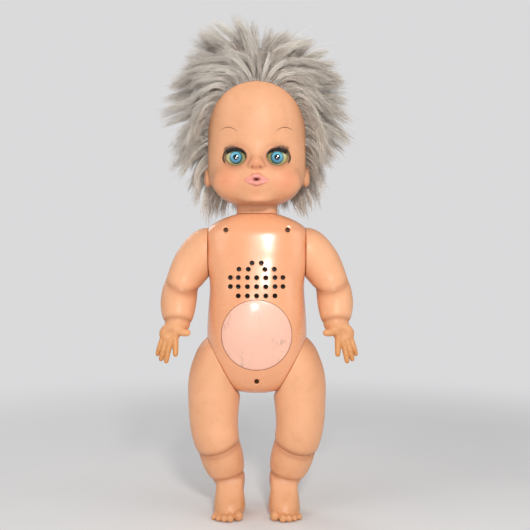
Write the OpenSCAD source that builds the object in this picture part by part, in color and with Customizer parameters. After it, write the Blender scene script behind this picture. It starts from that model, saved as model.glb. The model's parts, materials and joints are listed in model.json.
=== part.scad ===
// Interactive baby doll: hard body shell with a voice unit behind a round tummy button,
// soft vinyl head, arms and legs that snap into the shell, sleep eyes and rooted hair.
// Millimetres. It stands upright and faces -Y; its left side is +X.

/* [Shells] */
// Wall of the hard plastic body
torso_wall = 2.6; // [2.3:0.1:2.7]
// Wall of the soft vinyl head, arms and legs
vinyl_wall = 3; // [2.6:0.1:3.2]
// Gap between faces that turn or slide past each other
gap = 0.3; // [0.2:0.05:0.35]
// Radial clearance of pins, stems and collars
running_fit = 0.08; // [0.04:0.01:0.1]

/* [Joints] */
// Half width of the body at the flat shoulder landings
shoulder_x = 48; // [47.7:0.1:48.2]
// Radius of the hole that each arm snaps into
shoulder_hole_r = 12; // [11:0.1:12.4]
// Radius of the hole that each leg snaps into
hip_hole_r = 13; // [12:0.1:13.4]
// Radius of the hole that the neck snaps into
neck_hole_r = 17; // [16.4:0.1:17.2]

/* [Voice unit] */
// Diameter of each sound hole in the chest
sound_hole_d = 4.6; // [3.6:0.1:5]
// Outer radius of the loudspeaker flange
speaker_r = 24; // [23:0.1:24.2]
// Radius of the round tummy button
button_r = 33.8; // [33:0.1:33.9]
// How far the tummy button can be pressed
button_travel = 2; // [1.2:0.1:2]
// Wire diameter of the button spring
spring_wire_d = 1.1; // [0.8:0.05:1.2]

/* [Batteries] */
// Radius of one cell
cell_r = 7.25; // [7.0:0.05:7.3]
// Length of one cell with its cap
cell_length = 50.5; // [49.5:0.1:50.5]

/* [Eyes] */
// Distance of each eye from the middle plane
eye_x = 19.5; // [19.3:0.1:19.7]
// Radius of the eyeball
eyeball_r = 11.8; // [11.6:0.05:11.8]
// Radius of the coloured iris insert
iris_r = 6.25; // [5.8:0.05:6.4]
// Radius of the pin that each eye rolls on
eye_pin_r = 1.2; // [1.1:0.02:1.2]

/* [Hidden] */
$fn = 48;

// The body axis stands behind the middle of the whole doll's box
axis_y = -18;
seam_y = 0;
far = 200;

// Torso
torso_square = 2.5;
torso_sides = 32;
torso_rows = [ // height, half width, front depth, back depth
    [120, 14, 12, 12], [124, 26, 22, 22], [135, 40, 30, 29], [150, 47, 36, 34],
    [165, 49, 39.5, 35.5], [180, 49.5, 42, 36], [200, 48.5, 41.5, 34], [220, 47, 39.5, 32.5],
    [235, 47.8, 37, 32], [250, 52, 34.5, 32], [262, 53, 33, 32], [276, 52, 31, 31],
    [283, 48, 28.5, 29], [289, 40, 25.5, 26], [293.5, 30, 22, 22], [296, 22.5, 19, 19]];
torso_top_z = 296;
neck_plate = 3.5;
shoulder_z = 262;
shoulder_cut_z = 235;
landing_wall = 3.5;

// Hips: each leg turns on an axis that slopes down and outward
hip_slope = 28;
hip_x = 33.6;
hip_z = 147.5;
hip_plane = hip_x * cos(hip_slope) - hip_z * sin(hip_slope);

// Body screws: x and height
screw_spots = [[-30, 280], [30, 280], [0, 133.5]];
screw_post_r = 4.2;
screw_recess_r = 2.4;
screw_seat_y = -12;
screw_r = 1.4;

// Sound holes: height and the distances from the middle
sound_rows = [[248, [4.5]], [242, [8, 17]], [234, [0, 8.8, 17.6, 25.2]],
    [225.4, [0, 8.8, 17.6, 25.2]], [216.6, [0, 8.8, 17.5]]];

// Loudspeaker
speaker_z = 231;
speaker_y = -30.3;
clamp_screw_ring = 27.3;
clamp_y = speaker_y + 1.25;
clamp_thick = 1.5;

// Tummy button
button_z = 179;
button_gap = 0.5;
stem_r = 4;
stem_end_y = -20.8;
guide_y = -24.9;
guide_thick = 2;
guide_screw_x = 36.7;
clip_y = guide_y + guide_thick + 0.15;
clip_thick = 0.8;
clip_groove_r = 3.3;

// Circuit board
board_y = -14.4;
board_thick = 1.6;
board_half_w = 26;
board_low = 160;
board_high = 200;
board_screw_x = 22.5;
board_screw_low = 164;
board_screw_high = 196;

// Battery box and door
box_half_w = 27;
box_low = 186;
box_high = 245;
box_wall = 1.5;
box_front_y = 7.5;
box_rim_y = 24.2;
cell_pitch = 16;
cell_y = 16.9;
cap_r = 2.6;
cap_length = 1.2;
plate_thick = 0.5;
box_ear_x = 33;
box_ear_y = 20;
door_low = 177;
door_screw_z = 181;

// Power switch
switch_z = 165;
knob_rest_x = -2.5;
knob_half_w = 2.4;
knob_travel = 5;
slot_half_w = knob_half_w + knob_travel / 2 + gap;
switch_face_y = 31.6;

// Head
head_square = 2.25;
head_sides = 32;
neck_gap_z = torso_top_z + 0.4;
neck_bore_r = 13;
head_rows = [ // height, half width, front depth, back depth
    [neck_gap_z, 20.5, 20.5, 20.5], [303, 20.5, 20.5, 20.5], [306, 24, 36, 22], [309, 31, 42, 25],
    [315, 38.5, 46, 31], [325, 45, 48.5, 41], [335, 48, 49.5, 48], [345, 49, 49, 53],
    [360, 49, 49.5, 57], [375, 49, 51.5, 58.5], [390, 49, 52.5, 58], [405, 47.5, 50, 55],
    [418, 43.5, 44.5, 49], [430, 36.5, 35.5, 40], [440, 26, 24, 28], [446, 15, 13.5, 16],
    [449, 3, 3, 3]];

// Eyes: centre of the ball and the sizes of what surrounds it
eye_y = -32.5;
eye_z = 348;
eye_half_w = 10.5;
eye_half_h = 8.2;
lens_r = (eye_half_w * eye_half_w + eye_half_h * eye_half_h) / (2 * eye_half_h);
pocket_r = 13.6;
pocket_front_y = -39.7;
cup_in_r = 12.4;
cup_out_r = 13.4;
lid_r = 12.15;
lid_edge = 27;
lash_lift = 28.5;
lash_r = 14.2;
lash_half_w = 4;
weight_dip = 55;
weight_reach = 20;

// Arm of the left side, from the knuckles up: x, y, z, tilt, lean, width, front, back
arm_sides = 24;
arm_rows = [
    [84.6, -31.5, 169.5, 20, -22, 9.5, 5.2, 5.2], [82.5, -29.5, 175, 18, -22, 11, 6.6, 6.6],
    [80, -27, 181, 14, -22, 12, 8, 8], [78, -24, 187, 8, -22, 11.6, 9.6, 9.6],
    [77, -22, 191, 4, -22, 11.8, 11.2, 11.2], [77, -19.5, 196, 3, -22, 14, 13.6, 13.6],
    [77.2, -14, 207, 5, -20, 16.3, 16, 16], [76.4, -8, 218, 10, -14, 16.2, 16.2, 16.2],
    [74, -4.5, 227, 18, -8, 15.3, 15.5, 15.5], [70, -2, 236, 30, -3, 17, 17, 17],
    [64, -0.5, 246.5, 48, 0, 18.8, 18.8, 18.8], [57, 0, 255, 66, 0, 19.8, 20, 20],
    [52, 0, 259.5, 80, 0, 20.4, 20.4, 20.4],
    [shoulder_x + gap, 0, shoulder_z, 90, 0, 20.5, 20.5, 20.5]];
arm_hollow_from = 5;
arm_hollow_end = [52.4, 0, 260.4, 88, 0, 15, 15, 15];
finger_sides = 8;
fingers = [ // root, middle, tip, radius
    [[79.8, -30, 174], [79.2, -32.6, 167], [78.2, -33.3, 161], 3.8],
    [[84, -31, 171], [85.6, -34.2, 162], [85.2, -33.6, 155.5], 3.7],
    [[87, -30.6, 171], [89, -33.2, 162.5], [88.8, -32, 157], 3.4],
    [[89.6, -29.6, 172.5], [91.8, -31.2, 165], [91.6, -29.8, 159.5], 3.1],
    [[76.5, -28, 184], [70.5, -31, 181.6], [67, -32, 180.6], 3.9]];
shoulder_groove_r = shoulder_hole_r - running_fit;
shoulder_flange_r = shoulder_hole_r + 3;
collar_bore_r = 8;
flange_thick = 3.6;

// Leg of the left side, from inside the ankle up, in the same form
leg_sides = 24;
leg_rows = [
    [27, 4.5, 26, 0, 0, 12.4, 13, 13], [27, 4, 33, 0, 0, 12.8, 13.5, 13.5],
    [31.5, 2, 44, 0, 0, 17.2, 17.5, 17.5], [34.8, 0, 55, 0, 0, 19.5, 19.5, 19.5],
    [37, -3, 63, 0, 0, 19.3, 19, 19], [39.5, -6, 72, 0, 0, 20.8, 21, 21],
    [42.3, -6, 85, 0, 0, 21.8, 22, 22], [43, -5, 100, 0, 0, 23.2, 23, 23],
    [42.7, -3.5, 113.5, 12, 0, 24, 24, 24], [41.8, -2, 126, 28, 0, 25.5, 25.5, 25.5],
    [38.9, -1, 137.6, 45, 0, 27, 27, 27],
    [hip_x + gap * cos(hip_slope), 0, hip_z - gap * sin(hip_slope), 90 - hip_slope, 0, 27.7, 27.7, 27.7]];
leg_hollow_from = 2;
leg_hollow_end = [36.6, 0, 145.9, 90 - hip_slope, 0, 22.5, 22.5, 22.5];
foot_x = 27;
foot_y = -8;
foot_rows = [ // height, half width, front depth, back depth
    [0, 13.5, 24, 26], [3, 15, 26.5, 28], [8, 15.5, 27, 28.5], [15, 14.8, 23, 28],
    [22, 13.8, 15, 27], [30, 13, 7, 25.5], [36, 12.5, 4, 25]];
toes = [ // x, radius, y of the tip
    [17.5, 5.6, -35], [25, 4.6, -38.5], [31, 4.3, -38], [36, 4, -35.5], [40.5, 3.6, -31]];
toe_root_y = -24;
hip_groove_r = hip_hole_r - running_fit;
hip_flange_r = hip_hole_r + 3.5;
hip_wall = 3.5;

// Hair: rings that stand across Y, each scaled from one outline of radius against angle
hair_rings = [ // y, height of the middle, share of the outline
    [-38, 437, 0.16], [-33, 431, 0.4], [-22, 420, 0.68], [-8, 410, 0.88], [12, 404, 0.99],
    [34, 402, 1], [56, 400, 0.9], [74, 397, 0.68], [86, 394, 0.4], [92, 392, 0.12]];
hair_outline = [ // radius every 15 degrees, from the left side up and over
    99, 92, 101, 88, 93, 80, 82, 99, 101, 96, 88, 99,
    102.4, 92, 104, 95, 92, 84, 78, 84, 92, 98, 92, 106];
hair_thick = 5;
hair_sides = 48;
face_half_w = 48;
face_top_z = 423;
face_depth_y = -4;

// Small tubes: points along each wire, chosen by hand
wire_r = 0.7;
wire_sides = 6;
speaker_route = [[16, -17, 216], [17, -9, 211], [17, -3, 203], [16, -4, 197], [15, -9, 193], [15, -12.2, 190]];
battery_route = [[24, 6.8, 192], [26, 3, 186], [24, -2, 178], [19, -7, 173], [16, -12.2, 171]];
switch_route = [[3, 24.4, 165], [3, 18, 168], [2, 8, 172], [1, -4, 171], [0, -12.2, 169]];
wire_spacing = 3;

// ---- Helpers ----

function signed_power(v, p) = sign(v) * pow(abs(v), p);

function curve(a, b, c, d, t) =
    0.5 * (2 * b + (c - a) * t + (2 * a - 5 * b + 4 * c - d) * t * t + (3 * b - 3 * c + d - a) * t * t * t);

// Every row of a table, with smooth rows put in between
function smooth(rows, steps) = let (last = len(rows) - 1) [
    for (i = [0 : last - 1])
        for (k = [0 : steps - 1])
            curve(rows[max(i - 1, 0)], rows[i], rows[i + 1], rows[min(i + 2, last)], k / steps),
    rows[last]];

// One closed ring from a row of x, y, z, tilt, lean, width, front depth, back depth
function ring(row, sides, square) = [
    for (i = [0 : sides - 1])
        let (
            a = 360 * i / sides,
            w = row[5] * signed_power(cos(a), 2 / square),
            d = (sin(a) < 0 ? row[6] : row[7]) * signed_power(sin(a), 2 / square))
        [row[0] + w * cos(row[3]), row[1] + d * cos(row[4]), row[2] + w * sin(row[3]) + d * sin(row[4])]];

function upright(rows, x = 0, y = 0) = [for (r = rows) [x, y, r[0], 0, 0, r[1], r[2], r[3]]];

function thinner(rows, wall) = [
    for (r = rows) [r[0], r[1], r[2], r[3], r[4], r[5] - wall, r[6] - wall, r[7] - wall]];

function rings(rows, steps, sides, square) = [for (r = smooth(rows, steps)) ring(r, sides, square)];

function slice(list, first, last) = [for (i = [first : last]) list[i]];

function unit(v) = v / norm(v);

// Rings round a path, with one radius for each point
function tube_rings(path, radii, sides) = let (last = len(path) - 1) [
    for (i = [0 : last])
        let (
            along = unit(path[min(i + 1, last)] - path[max(i - 1, 0)]),
            across = unit(cross([0.42, 0.31, 0.85], along)),
            up = cross(along, across))
        [for (k = [0 : sides - 1])
            path[i] + radii[i] * (across * cos(360 * k / sides) + up * sin(360 * k / sides))]];

// Closed skin over rings that follow each other along their own axis
module skin(loops) {
    n = len(loops[0]);
    m = len(loops);
    polyhedron(
        [for (loop = loops) for (p = loop) p],
        concat(
            [[for (i = [0 : n - 1]) i]],
            [for (k = [0 : m - 2]) for (i = [0 : n - 1])
                [k * n + i, (k + 1) * n + i, (k + 1) * n + (i + 1) % n, k * n + (i + 1) % n]],
            [[for (i = [n - 1 : -1 : 0]) (m - 1) * n + i]]),
        convexity = 6);
}

// Evaluates its children as one mesh
module one_mesh() {
    resize([0, 0, 0])
        union() {
            children();
        }
}

// Puts the body axis in the object's own frame
module stand() {
    translate([0, axis_y, 0]) children();
}

module right_side() {
    mirror([1, 0, 0]) children();
}

module both_sides() {
    children();
    right_side() children();
}

// Round rod along +Y
module rod(x, z, from_y, to_y, r) {
    translate([x, from_y, z]) rotate([-90, 0, 0]) cylinder(r = r, h = to_y - from_y);
}

// Turned shape about an axis along +Y: points are radius and distance
module turned(x, z, from_y, points) {
    translate([x, from_y, z]) rotate([-90, 0, 0]) rotate_extrude() polygon(points);
}

module block(low, high) {
    translate(low) cube(high - low);
}

// Pan-head screw along Y with its head at from_y, shank towards dir
module screw(x, z, head_y, shank_y, r, head_r, head_h) {
    dir = sign(shank_y - head_y);
    rod(x, z, min(head_y, shank_y), max(head_y, shank_y), r);
    rod(x, z, dir > 0 ? head_y - head_h : head_y, dir > 0 ? head_y : head_y + head_h, head_r);
}

// ---- Torso ----

// Everything above the hip planes and between the shoulder landings
module body_limits(inset, half_w) {
    function rise(x) = (x * cos(hip_slope) - hip_plane + inset) / sin(hip_slope);
    rotate([90, 0, 0])
        linear_extrude(height = far, center = true)
            polygon([
                [0, rise(0)], [70, rise(70)], [70, shoulder_cut_z], [half_w, shoulder_cut_z], [half_w, 400],
                [-half_w, 400], [-half_w, shoulder_cut_z], [-70, shoulder_cut_z], [-70, rise(70)]]);
}

module torso_wall_mesh() {
    inner = concat(
        [[124.5, 20, 16, 16]],
        [for (i = [2 : 13]) torso_rows[i] - [0, torso_wall, torso_wall, torso_wall]],
        [[torso_top_z - neck_plate, 28, 21, 21]]);
    difference() {
        intersection() {
            skin(rings(upright(torso_rows), 2, torso_sides, torso_square));
            body_limits(0, shoulder_x);
        }
        intersection() {
            skin(rings(upright(inner), 1, torso_sides, torso_square));
            body_limits(hip_wall, shoulder_x - landing_wall);
        }
    }
}

module torso_half(front) {
    one_mesh()
        intersection() {
            torso_wall_mesh();
            translate([-far / 2, front ? -far : seam_y, 0]) cube([far, far, 400]);
        }
}

module joint_holes() {
    translate([0, 0, torso_top_z - 2 * neck_plate]) cylinder(r = neck_hole_r, h = 3 * neck_plate);
    both_sides() {
        translate([shoulder_x - 2 * landing_wall, 0, shoulder_z]) rotate([0, 90, 0])
            cylinder(r = shoulder_hole_r, h = 3 * landing_wall);
        hip_frame() translate([0, 0, -2 * hip_wall]) cylinder(r = hip_hole_r, h = 4 * hip_wall);
    }
}

// Frame of the left hip: origin on the torso's face, +Z out along the hip axis
module hip_frame() {
    translate([hip_x, 0, hip_z]) rotate([0, 90 + hip_slope, 0]) children();
}

module torso_front() {
    wall_depth = [23.9, 23.9, 26.6];
    color([0.87, 0.59, 0.41]) stand()
        difference() {
            union() {
                torso_half(true);
                for (i = [0 : 2])
                    rod(screw_spots[i][0], screw_spots[i][1], -wall_depth[i], seam_y, screw_post_r);
                for (x = [-1, 1]) {
                    rod(x * guide_screw_x, button_z, -28.8, guide_y - 0.1, 3);
                    for (z = [-1, 1])
                        rod(x * clamp_screw_ring * cos(45), speaker_z + z * clamp_screw_ring * sin(45),
                            z > 0 ? -32.4 : -38, clamp_y - 0.05, 2.6);
                }
            }
            joint_holes();
            for (s = screw_spots) {
                rod(s[0], s[1], -far / 2, screw_seat_y, screw_recess_r);
                rod(s[0], s[1], screw_seat_y - 1, seam_y + 1, screw_r + 0.05);
            }
            for (row = sound_rows)
                for (x = row[1])
                    for (side = x > 0 ? [-1, 1] : [1])
                        rod(side * x, row[0], -far / 2, -25, sound_hole_d / 2);
            rod(0, button_z, -far / 2, -24, button_r + button_gap);
            for (x = [-1, 1]) {
                rod(x * guide_screw_x, button_z, -28, guide_y + 1, 1.35);
                for (z = [-1, 1])
                    rod(x * clamp_screw_ring * cos(45), speaker_z + z * clamp_screw_ring * sin(45),
                        -31.6, clamp_y + 1, 1.05);
            }
        }
}

module torso_back() {
    wall_depth = [24.9, 24.9, 26.2];
    color([0.85, 0.57, 0.4]) stand()
        difference() {
            union() {
                torso_half(false);
                for (i = [0 : 2])
                    rod(screw_spots[i][0], screw_spots[i][1], seam_y, wall_depth[i], screw_post_r);
                for (x = [-1, 1]) {
                    rod(x * board_screw_x, board_screw_low, board_y + board_thick + 0.05, 30, 3);
                    rod(x * box_ear_x, 192, box_ear_y + 1.95, 26.8, 2.6);
                    rod(x * box_ear_x, 239, box_ear_y + 1.95, 25, 2.6);
                }
            }
            joint_holes();
            for (s = screw_spots)
                rod(s[0], s[1], seam_y - 1, 12, screw_r + 0.05);
            for (x = [-1, 1]) {
                rod(x * board_screw_x, board_screw_low, board_y, -4, 1.25);
                for (z = [192, 239])
                    rod(x * box_ear_x, z, box_ear_y, 24, 1.25);
            }
            block([-box_half_w, box_rim_y - 1, door_low], [box_half_w, far / 2, box_high]);
            block([-slot_half_w, 24, switch_z - 2.7], [slot_half_w, far / 2, switch_z + 2.7]);
        }
}

module body_screws() {
    color([0.35, 0.34, 0.33]) stand()
        for (s = screw_spots)
            screw(s[0], s[1], screw_seat_y, 10, screw_r, 2.25, 1.5);
}

// ---- Loudspeaker ----

module speaker_basket() {
    color([0.6, 0.6, 0.6]) stand()
        turned(0, speaker_z, speaker_y, [
            [20.2, 0], [speaker_r, 0], [speaker_r, 1.2], [21.8, 1.2], [12.5, 10.2], [12.5, 11.2],
            [4, 11.2], [4, 10.2], [11.2, 10.2], [20.2, 1.5]]);
}

module speaker_magnet() {
    color([0.25, 0.25, 0.26]) stand()
        turned(0, speaker_z, speaker_y, [
            [0, 11.2], [11.5, 11.2], [11.5, 17.4], [10.6, 18.4], [0, 18.4]]);
}

module speaker_coil() {
    color([0.75, 0.45, 0.2]) stand()
        turned(0, speaker_z, speaker_y, [[3.2, 7.45], [3.6, 7.45], [3.6, 11], [3.2, 11]]);
}

module speaker_cone() {
    color([0.18, 0.17, 0.16]) stand()
        turned(0, speaker_z, speaker_y, [
            [3.2, 6.9], [17.8, 1.2], [18.6, 0.4], [19.9, 0.4], [19.9, 0.9], [18.9, 0.9], [18.1, 1.6], [3.2, 7.4]]);
}

module speaker_dust_cap() {
    color([0.12, 0.12, 0.12]) stand()
        turned(0, speaker_z, speaker_y, [
            [0, 4.6], [2.5, 4.95], [4.9, 6.15], [4.5, 6.3], [2.4, 5.25], [0, 4.9]]);
}

module speaker_clamp() {
    color([0.55, 0.55, 0.56]) stand()
        difference() {
            turned(0, speaker_z, clamp_y, [
                [22.2, 0], [29.6, 0], [29.6, clamp_thick], [22.2, clamp_thick]]);
            for (x = [-1, 1])
                for (z = [-1, 1])
                    rod(x * clamp_screw_ring * cos(45), speaker_z + z * clamp_screw_ring * sin(45),
                        clamp_y - 1, clamp_y + clamp_thick + 1, 1.1);
        }
}

module speaker_screws() {
    color([0.7, 0.7, 0.7]) stand()
        for (x = [-1, 1])
            for (z = [-1, 1])
                screw(x * clamp_screw_ring * cos(45), speaker_z + z * clamp_screw_ring * sin(45),
                    clamp_y + clamp_thick, -31.4, 1, 1.9, 1);
}

// ---- Tummy button ----

module tummy_button() {
    color([0.92, 0.67, 0.59]) stand()
        difference() {
            union() {
                one_mesh()
                    intersection() {
                        torso_wall_mesh();
                        translate([0, -24, button_z]) rotate([90, 0, 0])
                            cylinder(r = button_r, h = far, $fn = 72);
                    }
                rod(0, button_z, -40.4, stem_end_y, stem_r);
            }
            turned(0, button_z, clip_y - 0.05, [
                [clip_groove_r, 0], [stem_r + 1, 0], [stem_r + 1, clip_thick + 0.1], [clip_groove_r, clip_thick + 0.1]]);
        }
}

module stem_clip() {
    color([0.5, 0.5, 0.52]) stand()
        turned(0, button_z, clip_y, [
            [clip_groove_r + 0.05, 0], [6.2, 0], [6.2, clip_thick], [clip_groove_r + 0.05, clip_thick]]);
}

module button_guide() {
    color([0.8, 0.8, 0.76]) stand()
        difference() {
            union() {
                block([-39.1, guide_y, button_z - 5], [39.1, guide_y + guide_thick, button_z + 5]);
                rod(0, button_z, guide_y - 2.5, guide_y + 1, 6);
            }
            rod(0, button_z, guide_y - 5, guide_y + 5, stem_r + running_fit);
            for (x = [-1, 1])
                rod(x * guide_screw_x, button_z, guide_y - 1, guide_y + guide_thick + 1, 1.5);
        }
}

module guide_screws() {
    color([0.7, 0.7, 0.7]) stand()
        for (x = [-1, 1])
            screw(x * guide_screw_x, button_z, guide_y + guide_thick, -27.8, 1.3, 2.3, 1.2);
}

// Wire coil along +Y, closed at its ends
module coil(x, z, from_y, to_y, r, wire, turns, step, sides) {
    count = turns * step;
    path = [for (i = [0 : count])
        [x + r * cos(360 * i / step), from_y + (to_y - from_y) * i / count, z + r * sin(360 * i / step)]];
    skin(tube_rings(path, [for (p = path) wire], sides));
}

module button_spring() {
    wire = spring_wire_d / 2;
    color([0.72, 0.72, 0.74]) stand()
        coil(0, button_z, -38.4, guide_y - wire - 0.1, 7.2, wire, 5, 12, 6);
}

// ---- Electronics ----

module circuit_board() {
    color([0.13, 0.33, 0.18]) stand()
        difference() {
            block([-board_half_w, board_y, board_low], [board_half_w, board_y + board_thick, board_high]);
            for (x = [-1, 1])
                for (z = [board_screw_low, board_screw_high])
                    rod(x * board_screw_x, z, board_y - 1, board_y + board_thick + 1, 1.35);
        }
}

module board_parts() {
    front = board_y;
    color([0.1, 0.1, 0.1]) stand() {
        block([-16, front - 2.6, 186], [-2, front, 196]);
        block([6, front - 1.6, 188], [12, front, 193]);
        for (i = [0 : 3])
            block([8 + 3.4 * i, front - 1.3, 162], [10 + 3.4 * i, front, 168]);
        rod(-17, 166, front - 9, front, 3.2);
        rod(18, 187, front - 7, front, 2.6);
    }
}

module key_switch() {
    top = stem_end_y + button_travel + 0.1;
    color([0.2, 0.2, 0.22]) stand() {
        block([-3, board_y - 3.2, button_z - 3], [3, board_y, button_z + 3]);
        rod(0, button_z, top, board_y - 3, 1.7);
    }
}

module board_screws() {
    color([0.7, 0.7, 0.7]) stand()
        for (x = [-1, 1])
            for (z = [board_screw_low, board_screw_high])
                screw(x * board_screw_x, z, board_y, -5, 1.2, 2.2, 1.1);
}

// ---- Batteries ----

module battery_box() {
    w = box_half_w + box_wall;
    low = box_low - box_wall;
    high = box_high + box_wall;
    color([0.16, 0.16, 0.17]) stand()
        difference() {
            union() {
                block([-w, box_front_y, low], [w, box_rim_y, high]);
                for (x = [-1, 1]) {
                    for (z = [192, 239])
                        block([min(x * w, x * (box_ear_x + 3.2)), box_ear_y, z - 3.2],
                            [max(x * w, x * (box_ear_x + 3.2)), box_ear_y + 1.9, z + 3.2]);
                    rod(x * board_screw_x, board_screw_high, board_y + board_thick + 0.05, box_front_y + 1, 2.6);
                }
                rod(0, door_screw_z, box_front_y, 29, 3.2);
                block([-3.2, box_front_y, door_screw_z], [3.2, box_rim_y, low + 1]);
            }
            block([-box_half_w, box_front_y + box_wall, box_low], [box_half_w, far / 2, box_high]);
            for (x = [-1, 1]) {
                for (z = [192, 239])
                    rod(x * box_ear_x, z, box_ear_y - 1, box_ear_y + 3, 1.4);
                rod(x * board_screw_x, board_screw_high, board_y, -4, 1.25);
            }
            rod(0, door_screw_z, box_front_y + 4, 30, 1.45);
        }
}

// A cell stands along Z; the middle one is upside down
module cell(x, flipped) {
    low = box_low + plate_thick;
    high = box_high - plate_thick;
    body = cell_length - cap_length;
    base = flipped ? low + cell_length : high - cell_length;
    translate([x, cell_y, base]) mirror([0, 0, flipped ? 1 : 0]) {
        cylinder(r = cell_r, h = body);
        translate([0, 0, body - 0.1]) cylinder(r = cap_r, h = cap_length + 0.1);
    }
}

module battery_cells() {
    color([0.2, 0.3, 0.45]) stand()
        for (i = [-1, 0, 1])
            cell(i * cell_pitch, i == 0);
}

module contact_springs() {
    wire = 0.4;
    room = box_high - box_low - 2 * plate_thick - cell_length - 2 * wire - 0.2;
    start = box_low + plate_thick + wire + 0.1;
    color([0.8, 0.8, 0.8]) stand()
        for (i = [-1, 0, 1]) {
            low = i == 0 ? box_high + box_low - start - room : start;
            path = [for (k = [0 : 24]) [
                i * cell_pitch + 4.6 * cos(45 * k), cell_y + 4.6 * sin(45 * k), low + room * k / 24]];
            skin(tube_rings(path, [for (p = path) wire], 5));
        }
}

module contact_plates() {
    color([0.82, 0.82, 0.8]) stand()
        for (z = [box_low, box_high - plate_thick])
            for (i = [-1, 0, 1])
                block([i * cell_pitch - 6, 11, z], [i * cell_pitch + 6, 22.5, z + plate_thick]);
}

module box_screws() {
    color([0.7, 0.7, 0.7]) stand()
        for (x = [-1, 1])
            for (z = [192, 239])
                screw(x * box_ear_x, z, box_ear_y, 23.6, 1.2, 2.2, 1.1);
}

module battery_door() {
    clear = gap;
    color([0.85, 0.57, 0.4]) stand()
        difference() {
            one_mesh()
                intersection() {
                    torso_wall_mesh();
                    block([-box_half_w + clear, box_rim_y, door_low + clear],
                        [box_half_w - clear, far / 2, box_high - clear]);
                }
            rod(0, door_screw_z, 20, far / 2, 1.6);
            rod(0, door_screw_z, 34.6, far / 2, 2.9);
        }
}

module door_screw() {
    color([0.35, 0.34, 0.33]) stand()
        screw(0, door_screw_z, 34.6, 14, 1.35, 2.7, 1);
}

// ---- Power switch ----

module power_switch() {
    color([0.12, 0.12, 0.13]) stand()
        difference() {
            block([-9, 24.8, switch_z - 4.4], [9, switch_face_y, switch_z + 4.4]);
            block([-slot_half_w, 27.4, switch_z - 2.6], [slot_half_w, far / 2, switch_z + 2.6]);
        }
}

module switch_knob() {
    left = knob_rest_x - knob_half_w;
    right = knob_rest_x + knob_half_w;
    color([0.08, 0.08, 0.08]) stand()
        difference() {
            block([left, 27.7, switch_z - 2.3], [right, 37.6, switch_z + 2.3]);
            for (i = [-1, 0, 1])
                block([knob_rest_x + 1.4 * i - 0.3, 37.1, switch_z - 3], [knob_rest_x + 1.4 * i + 0.3, 38, switch_z + 3]);
        }
}

// ---- Wires ----

module wire_pair(route) {
    path = smooth(route, 3);
    for (i = [0, 1]) {
        shifted = [for (p = path) p + [i * wire_spacing, 0, 0]];
        skin(tube_rings(shifted, [for (p = shifted) wire_r], wire_sides));
    }
}

module speaker_wires() {
    color([0.7, 0.1, 0.1]) stand() wire_pair(speaker_route);
}

module battery_wires() {
    color([0.1, 0.1, 0.1]) stand() right_side() wire_pair(battery_route);
}

module switch_wires() {
    color([0.85, 0.85, 0.8]) stand() wire_pair(switch_route);
}

// ---- Head ----

module head_outer(extra) {
    skin(rings([for (r = upright(head_rows)) r + [0, 0, 0, 0, 0, extra, extra, extra]],
        1, head_sides, head_square));
}

module head_features() {
    translate([0, -48, 341]) scale([8.4, 8, 7]) sphere(r = 1, $fn = 20);
    for (part = [[329.4, 6.6, 2.6], [322.2, 7.2, 3]])
        translate([0, -49.2, part[0]]) scale([part[1], 5.2, part[2]]) sphere(r = 1, $fn = 16);
    both_sides()
        translate([49, 2, 336]) rotate([0, 8, 0]) scale([4.2, 7.5, 11.5]) sphere(r = 1, $fn = 14);
}

module head_shell() {
    hollow = concat(
        [for (i = [3 : 15]) thinner(upright(head_rows), vinyl_wall)[i] + [0, 0, i == 3 ? 2 : 0, 0, 0, i < 15 ? 0 : -4, 0, 0]]);
    color([0.82, 0.6, 0.45]) stand()
        difference() {
            union() {
                one_mesh()
                    difference() {
                        union() {
                            head_outer(0);
                            head_features();
                        }
                        skin(rings(hollow, 1, 24, head_square));
                        translate([0, 0, neck_gap_z - 1]) cylinder(r = neck_bore_r - 0.5, h = 20);
                    }
                translate([0, 0, torso_top_z - neck_plate - 0.5])
                    cylinder(r = neck_hole_r - running_fit, h = neck_plate + 4);
                translate([0, 0, 288.5]) cylinder(r = neck_hole_r + 2.3, h = torso_top_z - neck_plate - gap - 288.5);
            }
            translate([0, 0, 285]) cylinder(r = neck_bore_r, h = 32);
            both_sides() {
                eye_opening();
                translate([eye_x, eye_y, eye_z]) sphere(r = lid_r + 0.25);
                intersection() {
                    translate([eye_x, eye_y, eye_z]) sphere(r = pocket_r);
                    block([0, pocket_front_y, 300], [60, far, 400]);
                }
            }
            rod(0, 325.6, -70, -40, 1.8);
        }
}

module eye_opening() {
    intersection() {
        for_arc(1);
        for_arc(-1);
    }
}

// One of the two round cuts whose overlap is the almond opening
module for_arc(side) {
    rod(eye_x, eye_z + side * (lens_r - eye_half_h), -70, eye_y, lens_r);
}

module hair() {
    function radius(a) = let (t = a / 15, i = floor(t), f = t - i)
        hair_outline[i % 24] * (1 - f) + hair_outline[(i + 1) % 24] * f;
    function loop(row, less) = [
        for (k = [0 : hair_sides - 1])
            let (a = 360 * (1 - k / hair_sides), r = max(radius(a) * row[2] - less, 3))
            [r * cos(a), row[0], row[1] + r * sin(a)]];
    color([0.68, 0.65, 0.6]) stand()
        one_mesh()
            difference() {
                skin([for (row = hair_rings) loop(row, 0)]);
                skin([for (row = slice(hair_rings, 2, len(hair_rings) - 3)) loop(row, hair_thick)]);
                head_outer(0.8);
                translate([0, face_depth_y, 0]) rotate([90, 0, 0])
                    linear_extrude(height = 100) face_outline();
                both_sides()
                    translate([50, 2, 336]) scale([6, 9, 13]) sphere(r = 1, $fn = 14);
            }
}

// Arched window that the face looks out of
module face_outline() {
    translate([0, face_top_z - face_half_w]) circle(r = face_half_w);
    translate([-face_half_w, 250]) square([2 * face_half_w, face_top_z - face_half_w - 250]);
}

// ---- Eyes, modelled on the left and mirrored to the right ----

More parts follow.
